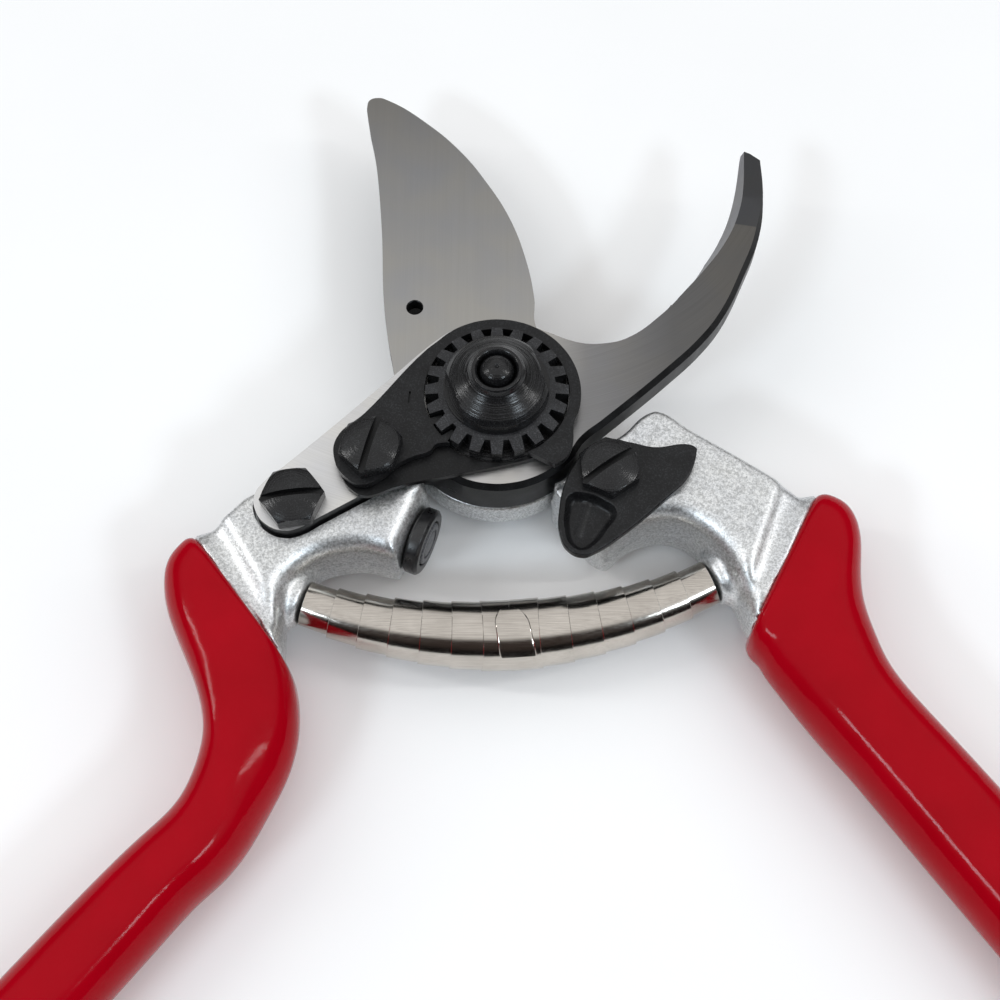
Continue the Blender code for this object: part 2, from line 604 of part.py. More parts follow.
def main():
    aluminium = material("cast_aluminium", (0.62, 0.63, 0.64), 0.42, 1.0)
    red = material("red_coating", (0.42, 0.0, 0.008), 0.25, 0.0)
    steel = material("ground_steel", (0.42, 0.41, 0.40), 0.35, 1.0)
    black = material("black_oxide", (0.03, 0.03, 0.034), 0.42, 0.8)
    nickel = material("nickel_plate", (0.75, 0.72, 0.68), 0.12, 1.0)
    bronze = material("bronze", (0.5, 0.33, 0.15), 0.35, 1.0)
    rubber = material("black_rubber", (0.015, 0.015, 0.016), 0.55, 0.0)

    finish(make_left_handle(), aluminium)
    finish(make_right_handle(), aluminium)
    finish(grip("left_grip", LEFT_STATIONS), red)
    finish(grip("right_grip", RIGHT_STATIONS), red)
    finish(make_counter_blade(), steel)
    finish(make_cutting_blade(), steel)
    finish(make_bolt(), black)
    finish(make_nut(), black)
    finish(make_segment(), black)
    finish(make_segment_plate(), black)
    finish(tube("pivot_bush", BUSH_OUTER, BUSH_INNER, HUB_BACK, BLADE_FRONT), bronze)
    pin_top = BLADE_FRONT - PIN_COVER - GAP
    finish(cylinder("blade_locating_pin", PIN_RADIUS, HUB_BACK + 1 + GAP, pin_top, LOCATING_PIN, 16), steel)
    depth = HOOK_FRONT - HOOK_BACK + SCREW_DEPTH
    finish(screw("tang_screw", TANG_SCREW, HOOK_FRONT, TANG_SLOT, depth), black)
    depth = SEGMENT_FRONT - HOOK_BACK + SCREW_DEPTH
    finish(screw("segment_screw", SEGMENT_SCREW, SEGMENT_FRONT, SEGMENT_SLOT, depth), black)
    depth = CATCH_FRONT - RIGHT_FRONT + SCREW_DEPTH
    finish(screw("catch_screw", CATCH_SCREW, CATCH_FRONT, CATCH_SLOT, depth), black)
    finish(make_catch(), black)
    back = RIGHT_FRONT - WASHER_SEAT_DEPTH + GAP
    front = back + WASHER_THICKNESS
    finish(tube("catch_washer", WASHER_RADIUS, SCREW_HOLE + 0.1, back, front, CATCH_SCREW, 24), steel)
    finish(make_spring(), nickel)
    for piece in make_buffer():
        finish(piece, rubber)


main()
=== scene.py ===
import math

import bmesh
import bpy
import numpy as np
from mathutils import Matrix, Vector

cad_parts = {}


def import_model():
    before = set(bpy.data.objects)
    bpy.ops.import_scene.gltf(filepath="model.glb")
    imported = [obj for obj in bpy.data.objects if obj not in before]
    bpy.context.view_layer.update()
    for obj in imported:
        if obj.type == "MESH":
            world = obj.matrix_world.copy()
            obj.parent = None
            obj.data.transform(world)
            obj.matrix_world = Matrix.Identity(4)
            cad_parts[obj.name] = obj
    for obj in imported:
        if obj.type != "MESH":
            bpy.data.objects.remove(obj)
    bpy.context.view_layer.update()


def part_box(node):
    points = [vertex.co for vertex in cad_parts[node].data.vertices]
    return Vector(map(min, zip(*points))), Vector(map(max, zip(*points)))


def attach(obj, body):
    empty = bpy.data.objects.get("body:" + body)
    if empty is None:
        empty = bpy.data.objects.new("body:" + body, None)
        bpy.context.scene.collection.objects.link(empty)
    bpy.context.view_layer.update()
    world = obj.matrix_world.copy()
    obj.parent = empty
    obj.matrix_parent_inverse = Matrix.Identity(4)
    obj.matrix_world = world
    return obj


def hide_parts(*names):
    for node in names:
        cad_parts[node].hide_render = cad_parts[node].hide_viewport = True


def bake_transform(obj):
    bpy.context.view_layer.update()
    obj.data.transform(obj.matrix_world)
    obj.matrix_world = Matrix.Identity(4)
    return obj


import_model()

# Lengths below are in millimetres, and MM turns them into metres.
MM = 0.001
MID = 8.1
SHARP = "corner"
# A span's length over its handles' length, as in Blender's automatic handles
AUTO_HANDLE = 2.5614


def levels(node):
    low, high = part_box(node)
    return low[2] / MM, high[2] / MM


HUB_BACK, HUB_FRONT = 3.8, 9.3
BLADE_BACK, BLADE_FRONT = levels("cutting_blade")
HOOK_BACK, HOOK_FRONT = levels("counter_blade")
PLATE_BACK, PLATE_FRONT = levels("segment_plate")
SEGMENT_BACK, SEGMENT_FRONT = levels("toothed_segment")
NUT_TOP = levels("pivot_nut")[1]
BOLT_TIP = levels("pivot_bolt")[1]
CATCH_BACK, CATCH_FRONT = levels("thumb_catch")
LEFT_BACK, LEFT_FRONT = 0.8, 15.3
RIGHT_BACK, RIGHT_FRONT = 0.8, 16.3
HUB_RADIUS = 15.0
BOLT_HOLE, BUSH_HOLE, SCREW_HOLE, PIN_HOLE = 3.9, 5.7, 2.3, 1.8
WASHER_SEAT, WASHER_SEAT_DEPTH = 4.7, 0.7
SCREW_HEX = 8.5
LOCATING_PIN = (9.0, -6.0)
TEETH, TOOTH_TIP, TOOTH_ROOT = 20, 11.0, 9.0
TOOTH_TOP, NUT_TURN = 21.6, 19
SEGMENT_RADIUS = 12.9

TANG_SCREW, TANG_SLOT = (-30.6, -17.05), 8.0
SEGMENT_SCREW, SEGMENT_SLOT = (-18.9, -9.95), 75.0
CATCH_SCREW, CATCH_SLOT, CATCH_TURN = (16.9, -12.35), 35.0, -20.5
BUFFER_FACE, BUFFER_ANGLE, CLOSING_ANGLE = (-10.3, -20.3), -22.0, 60.0
SPRING_ENDS, SPRING_SAG = ((-29.2, -30.0), (32.6, -26.6)), (0.6, -35.2)
SPRING_BANDS, SPRING_END_RADIUS, SPRING_MID_RADIUS = 14, 3.1, 5.5
SPRING_SEAT_RADIUS, PEG_RADIUS = 4.1, 1.5
STRIP_THICKNESS, STRIP_END, STRIP_HALF_WIDTH = 0.24, 0.503, 0.040
# The coating's thickness, and the way between the first stations of a handle
COAT, STATION_STEP = 1.5, 3.1

HOOK_TIP, HOOK_WALL_END, HOOK_CENTRE = (42.9, 49.4), (28.0, 17.5), (0.0, 55.0)
HOOK_ARM = [
    (8.6, 12.0), (10.9, 11.0), (13.9, 10.2), (16.8, 10.2), (20.4, 11.1), (26.2, 15.5), (30.4, 20.2),
    (33.9, 24.4), (36.8, 28.5), (39.2, 33.2), (41.3, 40.2), (*HOOK_TIP, SHARP), (44.7, 47.6, SHARP),
    (44.4, 40.5), (43.2, 31.5), (40.0, 23.2), (36.2, 15.5), (32.7, 10.8), (27.4, 5.5), (16.8, -3.9),
]
HOOK_TANG = [
    (-14.5, -12.6), (-19.6, -15.6), (-26.7, -19.8), (-29.6, -21.5), (-31.7, -21.9), (-34.4, -20.9),
    (-36.2, -18.6), (-36.5, -16.0), (-35.0, -13.6), (-32.3, -11.2), (-16.3, 4.2),
]
# How far the hook's inner wall stands out at its foot, by shares of its way from the tip
WALL_SHARES, WALL_LEAN = (0.0, 0.2, 0.4, 0.6, 0.8, 1.0), (1.2, 1.4, 1.7, 1.7, 1.1, 0.1)
EDGE_START, EDGE_END = (6.3, 16.3), (-19.3, 62.3)
BLADE_EDGE = [
    EDGE_START, (6.1, 21.5), (4.8, 29.0), (2.0, 37.6), (-2.0, 45.0), (-6.0, 50.8), (-12.0, 57.0),
    EDGE_END, (-20.8, 62.8), (-22.4, 62.3), (-22.8, 61.0), (-22.5, 58.0), (-21.0, 50.0),
    (-19.4, 35.0), (-18.6, 21.0), (-17.8, 14.5), (-16.6, 8.0), (-15.6, 1.0),
]
BLADE_HOLE = (-13.5, 19.9)
LEFT_BODY = [
    (-43.4, -21.0), (-42.4, -19.2), (-40.4, -17.0), (-38.4, -15.0), (-35.5, -13.6),
    (-31.8, -12.0), (-24.5, -5.0), (-20.0, -1.4), (-17.0, -1.6),
]
LEFT_GUARD = [
    (-10.6, -13.8, SHARP), (-15.1, -24.8, SHARP), (-17.1, -24.4), (-19.8, -23.7), (-22.7, -23.7),
    (-27.3, -25.0), (-30.9, -28.2), (-32.5, -32.0), (-34.0, -33.6),
]
LEFT_NECK = [
    (-38.5, -17.0, -31.0, -26.0, 6.4), (-43.6, -19.4, -32.0, -33.0, 6.9), (-46.3, -20.2, -31.9, -38.6, 7.2),
]
RIGHT_BODY = [
    (45.4, -14.2), (43.2, -12.6), (38.1, -9.1), (30.0, -3.8), (25.4, -0.7), (23.8, -0.8), (18.6, -5.2),
    (14.6, -7.2),
]
RIGHT_GUARD = [
    (16.6, -23.2), (18.2, -22.5), (19.9, -20.8), (23.1, -19.2), (26.8, -18.9), (30.4, -20.6),
    (34.0, -24.4), (36.4, -28.4), (38.6, -29.2), (46.0, -16.2),
]
RIGHT_NECK = [
    (41.5, -12.6, 33.5, -22.5, 6.6), (46.6, -13.9, 36.0, -29.3, 6.9), (49.2, -13.4, 37.6, -33.6, 7.2),
]

# Handle stations from the mouth of the grip to its end: outer side, inner side, half thickness
LEFT_STATIONS = [
    (-46.9, -19.9, -31.5, -39.8, 7.6), (-50.0, -23.4, -30.2, -42.2, 7.9), (-50.6, -27.6, -29.3, -46.0, 8.0),
    (-49.6, -32.4, -29.1, -50.5, 8.0), (-47.2, -37.8, -29.8, -55.0, 8.0), (-44.7, -43.1, -31.4, -59.3, 8.0),
    (-43.0, -48.5, -33.3, -63.1, 8.0), (-43.1, -53.6, -35.5, -67.3, 7.9), (-45.3, -60.2, -38.7, -71.5, 7.8),
    (-49.8, -65.1, -42.2, -74.8, 7.8), (-55.4, -71.0, -46.6, -80.0, 7.7), (-63.6, -80.3, -54.3, -89.2, 7.6),
    (-73.4, -91.7, -64.0, -100.5, 7.5), (-81.8, -101.6, -72.5, -110.4, 7.4),
]
RIGHT_STATIONS = [
    (49.9, -12.8, 37.7, -35.8, 7.6), (54.2, -14.6, 38.2, -38.0, 7.9), (56.0, -19.4, 39.3, -39.4, 8.0),
    (55.6, -25.1, 40.2, -41.3, 8.0), (55.6, -30.5, 41.6, -43.5, 8.0), (56.7, -35.4, 43.6, -46.4, 8.0),
    (58.2, -40.1, 46.2, -50.0, 8.0), (61.0, -44.6, 49.2, -53.9, 7.9), (64.7, -49.4, 52.6, -58.2, 7.8),
    (72.2, -59.0, 59.8, -68.1, 7.7), (82.3, -72.7, 69.9, -81.8, 7.6), (90.4, -83.7, 78.0, -92.8, 7.5),
    (98.4, -94.7, 86.0, -103.8, 7.4),
]
SEGMENT_LOBE = [
    (-7.8, -8.6, SHARP), (-9.2, -8.9), (-10.1, -10.0), (-12.7, -11.0), (-15.0, -12.3), (-17.6, -14.6),
    (-20.1, -15.6), (-22.8, -14.2), (-24.5, -11.0), (-24.2, -7.8), (-20.1, -3.6), (-11.0, 7.4),
]
SEGMENT_TOE = [(11.4, -9.0), (10.3, -11.2), (8.7, -12.3, SHARP), (4.6, -10.1, SHARP)]
PLATE_LOBE = [
    (4.1, -10.9, SHARP), (0.1, -11.9), (-7.0, -13.4), (-15.6, -15.4), (-17.9, -16.4), (-19.9, -16.7),
    (-21.6, -15.9), (-23.3, -13.7), (-24.1, -10.9), (-23.8, -7.9), (-19.9, -4.0), (-11.0, 6.6),
]
CATCH = [
    (30.5, -8.6, SHARP), (29.5, -8.0), (23.9, -8.4), (20.4, -7.6), (17.0, -7.0), (14.4, -8.1), (12.1, -10.6),
    (10.4, -13.9), (9.3, -18.6), (9.3, -22.7), (10.4, -25.1), (12.7, -26.2), (14.5, -25.6), (18.0, -23.3),
    (25.6, -16.8), (28.6, -13.9), (30.0, -10.9),
]
CATCH_DISH = [
    (10.9, -16.2), (13.6, -16.1), (16.1, -17.1), (18.0, -19.0), (16.4, -22.2), (14.2, -24.8),
    (12.4, -25.5), (10.7, -24.4), (10.0, -22.2), (10.0, -19.0),
]


# Outlines
def polar(radius, bearing, centre=(0, 0)):
    turn = math.radians(bearing)
    return (centre[0] + radius * math.cos(turn), centre[1] + radius * math.sin(turn))


def arc(radius, start, end, count, centre=(0, 0)):
    step = (end - start) / (count - 1)
    return [polar(radius, start + i * step, centre) for i in range(count)]


def rotate(point, degrees):
    turn = math.radians(degrees)
    along, across = math.cos(turn), math.sin(turn)
    return (point[0] * along - point[1] * across, point[0] * across + point[1] * along)


def ring_of(points, steps=8):
    """A dense closed ring through the points, smooth but for the corners marked SHARP."""
    at = np.array([point[:2] for point in points], float)
    sharp = np.array([len(point) > 2 for point in points])[:, None]
    before, after = at - np.roll(at, 1, 0), np.roll(at, -1, 0) - at
    back, ahead = (np.linalg.norm(side, axis=1)[:, None] for side in (before, after))
    tangent = before / back + after / ahead
    tangent /= np.linalg.norm(tangent, axis=1)[:, None] * AUTO_HANDLE
    left = np.where(sharp, at - before / 3, at - tangent * back)
    right = np.where(sharp, at + after / 3, at + tangent * ahead)
    ring = []
    for i in range(len(at)):
        j = (i + 1) % len(at)
        for t in np.arange(steps) / steps:
            s = 1 - t
            ring.append(s**3 * at[i] + 3 * s * s * t * right[i] + 3 * s * t * t * left[j] + t**3 * at[j])
    return np.array(ring)


def grown(ring, distance):
    """An anticlockwise ring moved outwards."""
    side = np.roll(ring, -1, 0) - np.roll(ring, 1, 0)
    out = np.stack([side[:, 1], -side[:, 0]], 1)
    return ring + distance * out / np.linalg.norm(out, axis=1)[:, None]


def hook_ring():
    clockwise = HOOK_ARM + arc(HUB_RADIUS, -27, -122, 8) + HOOK_TANG + arc(HUB_RADIUS - 0.6, 134, 65, 6)
    return ring_of(clockwise[::-1])


def toothed(tip, root, fill):
    pitch, slant = 360 / TEETH, 0.12
    tooth = (root, -0.5), (root, -fill), (tip, slant - fill), (tip, fill - slant), (root, fill)
    return np.array([polar(radius, (i + turn) * pitch) for i in range(TEETH) for radius, turn in tooth])


# Meshes
def placed(name, data):
    obj = bpy.data.objects.new(name, data)
    bpy.context.scene.collection.objects.link(obj)
    return obj


def bands(rows, count, base=0, closed=False):
    """Faces that join rings of points, each ring to the next."""
    faces = []
    for k in range(rows if closed else rows - 1):
        here, ahead = base + k * count, base + (k + 1) % rows * count
        for i in range(count):
            j = (i + 1) % count
            faces.append((here + i, here + j, ahead + j, ahead + i))
    return faces


def capped(rows, count):
    """The faces of a bar whose first and last rings are closed."""
    last = (rows - 1) * count
    return [tuple(range(count)), tuple(range(last, last + count)), *bands(rows, count)]


def made(name, verts, faces, index=0):
    mesh = bpy.data.meshes.new(name)
    mesh.from_pydata([tuple(v) for v in np.asarray(verts) * MM], [], [tuple(f) for f in faces])
    slots_for(mesh)
    mesh.polygons.foreach_set("material_index", [index] * len(mesh.polygons))
    mesh.update()
    return placed(name, mesh)


def slots_for(mesh):
    """Empty material slots, so that a Boolean keeps each face's material index."""
    while len(mesh.materials) < 4:
        mesh.materials.append(None)


def outward(obj):
    shape = bmesh.new()
    shape.from_mesh(obj.data)
    bmesh.ops.remove_doubles(shape, verts=shape.verts, dist=0.002 * MM)
    bmesh.ops.recalc_face_normals(shape, faces=shape.faces)
    shape.to_mesh(obj.data)
    shape.free()
    return obj


def slab(name, rings, back, front, walls=0):
    """A flat piece over one outer ring and any holes. Its walls take their own material index."""
    curve = bpy.data.curves.new(name, "CURVE")
    curve.dimensions = "2D"
    curve.fill_mode = "BOTH"
    curve.extrude = (front - back) / 2 * MM
    for ring in rings:
        spline = curve.splines.new("POLY")
        spline.points.add(len(ring) - 1)
        spline.use_cyclic_u = True
        flat = np.hstack([ring * MM, np.zeros((len(ring), 1)), np.ones((len(ring), 1))])
        spline.points.foreach_set("co", flat.ravel())
    guide = placed(name, curve)
    guide.location.z = (front + back) / 2 * MM
    bpy.context.view_layer.update()
    mesh = bpy.data.meshes.new_from_object(guide.evaluated_get(bpy.context.evaluated_depsgraph_get()))
    mesh.transform(guide.matrix_world)
    bpy.data.objects.remove(guide)
    bpy.data.curves.remove(curve)
    obj = outward(placed(name, mesh))
    slots_for(mesh)
    for face in mesh.polygons:
        face.material_index = walls if abs(face.normal.z) < 0.5 else 0
    return obj


def lathe(name, profile, sides=96, closed=False, index=0):
    """A turned piece about Z, from (radius, height) points."""
    turns = np.arange(sides) * 2 * math.pi / sides
    verts = [(r * math.cos(a), r * math.sin(a), z) for r, z in profile for a in turns]
    return outward(made(name, verts, bands(len(profile), sides, closed=closed), index))


def rounded(points, radius, steps=4):
    """A (radius, height) profile with its corners rounded."""
    corners = [Vector(p) for p in points]
    out = [tuple(points[0])]
    for before, p, after in zip(corners, corners[1:], corners[2:]):
        a, b = before - p, after - p
        reach = min(radius, a.length * 0.45, b.length * 0.45)
        first, last = p + a.normalized() * reach, p + b.normalized() * reach
        for t in np.arange(steps + 1) / steps:
            out.append(tuple(first * (1 - t) ** 2 + p * 2 * t * (1 - t) + last * t * t))
    return [*out, tuple(points[-1])]


def moved(obj, matrix):
    obj.data.transform(matrix)
    return obj


def at(place, turn=0.0, height=0.0):
    spin = Matrix.Rotation(math.radians(turn), 4, "Z")
    return Matrix.Translation(Vector((place[0], place[1], height)) * MM) @ spin


def laid(place, bearing):
    """The matrix that lays an upright piece down, with +Z along a bearing in the plane."""
    return at(place, bearing, MID) @ Matrix.Rotation(math.radians(90), 4, "Y")


def applied(obj):
    bpy.context.view_layer.update()
    mesh = bpy.data.meshes.new_from_object(obj.evaluated_get(bpy.context.evaluated_depsgraph_get()))
    obj.modifiers.clear()
    old, obj.data = obj.data, mesh
    bpy.data.meshes.remove(old)
    return obj


def boolean(obj, other, operation="DIFFERENCE"):
    step = obj.modifiers.new("cut", "BOOLEAN")
    step.operation = operation
    step.solver = "EXACT"
    step.object = other
    applied(obj)
    bpy.data.objects.remove(other)
    return obj


def bevel(obj, width, angle, index=-1, slide=False):
    step = obj.modifiers.new("bevel", "BEVEL")
    step.width = width * MM
    step.segments = 1
    step.limit_method = "ANGLE"
    step.angle_limit = math.radians(angle)
    step.loop_slide = slide
    step.material = index
    return applied(obj)


def prism(name, ring, back, front, index=0):
    """A plain upright cutter over a ring."""
    n = len(ring)
    verts = [(*p, back) for p in ring] + [(*p, front) for p in ring]
    return outward(made(name, verts, [tuple(range(n))[::-1], tuple(range(n, 2 * n)), *bands(2, n)], index))


def box(name, size, centre, turn=0.0, index=0):
    """A plain block as a cutter."""
    a, b, tall = (side / 2 for side in size)
    ring = [(-a, -b), (a, -b), (a, b), (-a, b)]
    return moved(prism(name, ring, centre[2] - tall, centre[2] + tall, index), at(centre, turn))


def circle(radius, centre=(0, 0), sides=64):
    return np.array([polar(radius, 360 * i / sides, centre) for i in range(sides)])


def sweep(name, path, sections, index=0):
    """A closed bar: at each path point, a section of (sideways, height) points set across the path."""
    path = np.asarray(path, float)
    side = np.gradient(path, axis=0)
    side = np.stack([side[:, 1], -side[:, 0]], 1)
    side /= np.linalg.norm(side, axis=1)[:, None]
    count = len(sections[0])
    verts = [(*(p + s * off), z) for p, s, section in zip(path, side, sections) for off, z in section]
    return outward(made(name, verts, capped(len(path), count), index))


# Fields
def smooth_min(a, b, k):
    h = np.clip(0.5 + 0.5 * (b - a) / k, 0, 1)
    return b + (a - b) * h - k * h * (1 - h)


def smooth_max(a, b, k):
    return -smooth_min(-a, -b, k)


def line_distance(x, y, line):
    """Distance in the plane to an open line of points."""
    best = np.full(x.shape, 1e9)
    for a, b in zip(line, line[1:]):
        dx, dy = b[0] - a[0], b[1] - a[1]
        t = np.clip(((x - a[0]) * dx + (y - a[1]) * dy) / (dx * dx + dy * dy + 1e-12), 0, 1)
        best = np.minimum(best, np.hypot(x - a[0] - t * dx, y - a[1] - t * dy))
    return best


def ring_distance(x, y, ring):
    """Signed distance in the plane to a closed ring, negative inside."""
    closed = [*ring, ring[0]]
    inside = np.zeros(x.shape, bool)
    for a, b in zip(closed, closed[1:]):
        spans = (a[1] > y) != (b[1] > y)
        with np.errstate(divide="ignore", invalid="ignore"):
            inside ^= spans & (x < (b[0] - a[0]) * (y - a[1]) / (b[1] - a[1]) + a[0])
    distance = line_distance(x, y, closed)
    return np.where(inside, -distance, distance)


def extruded(flat, along, first, last, rounding):
    """A bar with rounded edges: a distance across it, kept between two places along it."""
    rise = np.abs(along - (last + first) / 2) - (last - first) / 2
    a, b = flat + rounding, rise + rounding
    return np.minimum(np.maximum(a, b), 0) + np.hypot(np.maximum(a, 0), np.maximum(b, 0)) - rounding


def without(solid, *cuts):
    for cut in cuts:
        solid = np.maximum(solid, -cut)
    return solid


def rod(x, y, z, start, end, radius, height):
    """A round bar between two points in the plane, with round ends."""
    dx, dy = end[0] - start[0], end[1] - start[1]
    t = np.clip(((x - start[0]) * dx + (y - start[1]) * dy) / (dx * dx + dy * dy), 0, 1)
    return np.sqrt((x - start[0] - t * dx) ** 2 + (y - start[1] - t * dy) ** 2 + (z - height) ** 2) - radius


def drum(x, y, z, place, bearing, radius, first, last, rounding=0.5):
    """A lying round bar with flat, rounded ends, along a bearing."""
    ux, uy = polar(1, bearing)
    along = (x - place[0]) * ux + (y - place[1]) * uy
    across = np.hypot((y - place[1]) * ux - (x - place[0]) * uy, z - MID) - radius
    return extruded(across, along, first, last, rounding)


def lofted(x, y, z, stations, power=3.3):
    """Distance, near enough, to a bar whose section changes from station to station."""
    rows = np.array(stations)
    steps = np.linspace(0, len(rows) - 1, 12 * len(rows))
    fine = np.stack([np.interp(steps, range(len(rows)), rows[:, c]) for c in range(5)], 1)
    middle, reach = (fine[:, :2] + fine[:, 2:4]) / 2, (fine[:, 2:4] - fine[:, :2]) / 2
    length = np.linalg.norm(reach, axis=1)
    unit = reach / length[:, None]
    ahead = np.stack([-unit[:, 1], unit[:, 0]], 1)
    ahead *= np.sign(((middle[-1] - middle[0]) * ahead).sum(1))[:, None]
    px, py = x.ravel(), y.ravel()
    gone = (px[:, None] - middle[:, 0]) * ahead[:, 0] + (py[:, None] - middle[:, 1]) * ahead[:, 1]
    last = np.clip((gone < 0).argmax(1), 1, len(steps) - 1)
    last = np.where((gone >= 0).all(1), len(steps) - 1, last)
    pick = np.arange(len(px))
    a, b = gone[pick, last - 1], gone[pick, last]
    t = np.clip(a / np.where(np.abs(a - b) < 1e-9, 1, a - b), 0, 1)
    blend = lambda values: values[last - 1] * (1 - t) + values[last] * t
    side = (px - blend(middle[:, 0])) * blend(unit[:, 0]) + (py - blend(middle[:, 1])) * blend(unit[:, 1])
    beyond = np.maximum(-gone[:, 0], gone[:, -1])
    values = side, blend(length), blend(fine[:, 4]), beyond
    side, length, half, beyond = (value.reshape(x.shape) for value in values)
    shape = (np.abs(side / length) ** power + np.abs((z - MID) / half) ** power) ** (1 / power)
    return np.maximum((shape - 1) * np.minimum(length, half), beyond)


def surface(name, field, low, cell):
    """The skin of a sampled solid (negative inside), with one point in each cell that it crosses."""
    shape = np.array(field.shape)
    total = np.zeros((*(shape - 1), 3))
    count = np.zeros(shape - 1)
    quads = []
    for axis in range(3):
        u, v = (axis + 1) % 3, (axis + 2) % 3
        first = field[tuple(slice(0, -1) if i == axis else slice(None) for i in range(3))]
        second = field[tuple(slice(1, None) if i == axis else slice(None) for i in range(3))]
        crossed = np.argwhere((first < 0) != (second < 0))
        a, b = first[tuple(crossed.T)], second[tuple(crossed.T)]
        point = crossed.astype(float)
        point[:, axis] += a / (a - b)
        corners = []
        for du, dv in ((-1, -1), (0, -1), (0, 0), (-1, 0)):
            near = crossed.copy()
            near[:, u] += du
            near[:, v] += dv
            corners.append(near)
            np.add.at(total, tuple(near.T), point)
            np.add.at(count, tuple(near.T), 1)
        corners = np.stack(corners, 1)
        quads.append(np.where((a < 0)[:, None, None], corners, corners[:, ::-1]))
    index = np.full(count.shape, -1)
    used = count > 0
    index[used] = np.arange(used.sum())
    verts = total[used] / count[used][:, None] * cell + low
    quads = np.concatenate(quads)
    faces = index[tuple(quads.transpose(2, 0, 1))]
    return made(name, verts, faces)


def grid(low, high, cell):
    """Grid points as arrays that spread over x, y and z."""
    axes = [np.arange(a, b + cell, cell) for a, b in zip(low, high)]
    return axes[0][:, None, None], axes[1][None, :, None], axes[2][None, None, :]


# Materials
def rgb(color):
    return (color, color, color) if isinstance(color, (int, float)) else color


class Nodes:
    def __init__(self, tree):
        self.tree = tree

    def node(self, kind, **settings):
        made_node = self.tree.nodes.new(kind)
        for name, value in settings.items():
            setattr(made_node, name, value)
        return made_node

    def link(self, source, socket):
        self.tree.links.new(source, socket)

    def math(self, operation, a, b):
        step = self.node("ShaderNodeMath", operation=operation)
        for socket, value in zip(step.inputs, (a, b)):
            if isinstance(value, (int, float)):
                socket.default_value = value
            else:
                self.link(value, socket)
        return step.outputs[0]

    def parts(self, vector):
        split = self.node("ShaderNodeSeparateXYZ")
        self.link(vector, split.inputs[0])
        return split.outputs

    def joined(self, **sources):
        vector = self.node("ShaderNodeCombineXYZ")
        for axis, source in sources.items():
            self.link(source, vector.inputs[axis])
        return vector.outputs[0]

    def ramp(self, factor, *stops):
        """Stops are places with a colour, or a number for a grey."""
        ramp = self.node("ShaderNodeValToRGB")
        elements = ramp.color_ramp.elements
        while len(elements) < len(stops):
            elements.new(1.0)
        for element, (place, color) in zip(elements, stops):
            element.position, element.color = place, (*rgb(color), 1)
        self.link(factor, ramp.inputs["Fac"])
        return ramp.outputs["Color"]

    def mix(self, a, b, factor, blend="MIX"):
        step = self.node("ShaderNodeMix", data_type="RGBA", blend_type=blend)
        for socket, value in zip((step.inputs["Factor"], step.inputs["A"], step.inputs["B"]), (factor, a, b)):
            if hasattr(value, "is_linked"):
                self.link(value, socket)
            else:
                socket.default_value = value if isinstance(value, (int, float)) else (*value, 1)
        return step.outputs["Result"]

    def tinted(self, color, factor, *stops):
        return self.mix(color, self.ramp(factor, *stops), 1.0, "MULTIPLY")


class Look(Nodes):
    """A procedural material. Its coordinates are millimetres on the object."""

    def __init__(self, name, **sockets):
        self.material = bpy.data.materials.new(name)
        self.material.use_nodes = True
        super().__init__(self.material.node_tree)
        self.shader = self.tree.nodes["Principled BSDF"]
        for socket, value in sockets.items():
            self.shader.inputs[socket.replace("_", " ")].default_value = value
        self.place = self.node("ShaderNodeTexCoord").outputs["Object"]

    def set(self, socket, source):
        self.link(source, self.shader.inputs[socket])

    def mapped(self, stretch=(1, 1, 1), turn=0.0):
        mapping = self.node("ShaderNodeMapping", vector_type="TEXTURE")
        mapping.inputs["Rotation"].default_value = (0, 0, math.radians(turn))
        mapping.inputs["Scale"].default_value = [MM * s for s in stretch]
        self.link(self.place, mapping.inputs["Vector"])
        return mapping.outputs["Vector"]

    def round_about(self, centre, across, along):
        """Coordinates that run round a centre, for marks left by turning or by grinding on a curve."""
        step = self.node("ShaderNodeVectorMath", operation="SUBTRACT")
        step.inputs[1].default_value = (centre[0] * MM, centre[1] * MM, 0)
        self.link(self.place, step.inputs[0])
        x, y, z = self.parts(step.outputs[0])
        radius = self.node("ShaderNodeVectorMath", operation="LENGTH")
        self.link(self.joined(X=x, Y=y), radius.inputs[0])
        return self.joined(
            X=self.math("MULTIPLY", radius.outputs["Value"], across / MM),
            Y=self.math("MULTIPLY", self.math("ARCTAN2", y, x), along),
            Z=self.math("MULTIPLY", z, across / MM),
        )

    def noise(self, scale, detail=3.0, vector=None, **mapping):
        texture = self.node("ShaderNodeTexNoise")
        texture.inputs["Scale"].default_value = scale
        texture.inputs["Detail"].default_value = detail
        self.link(vector if vector is not None else self.mapped(**mapping), texture.inputs["Vector"])
        return texture.outputs["Fac"]

    def span(self, factor, low, high, start=0.3, end=0.7):
        """The factor stretched to run from low to high."""
        step = self.node("ShaderNodeMapRange")
        for socket, value in zip(("From Min", "From Max", "To Min", "To Max"), (start, end, low, high)):
            step.inputs[socket].default_value = value
        self.link(factor, step.inputs["Value"])
        return step.outputs["Result"]

    def coordinate(self, axis):
        return self.math("MULTIPLY", self.parts(self.place)[axis], 1 / MM)

    def finished(self, color, rough, *layers):
        """Layers are bumps of (height, depth in millimetres), from the broadest to the finest."""
        self.set("Base Color", color)
        self.set("Roughness", rough)
        normal = None
        for height, depth in layers:
            step = self.node("ShaderNodeBump")
            step.inputs["Strength"].default_value = 1.2
            step.inputs["Distance"].default_value = depth * MM
            self.link(height, step.inputs["Height"])
            if normal is not None:
                self.link(normal, step.inputs["Normal"])
            normal = step.outputs["Normal"]
        self.set("Normal", normal)
        return self.material


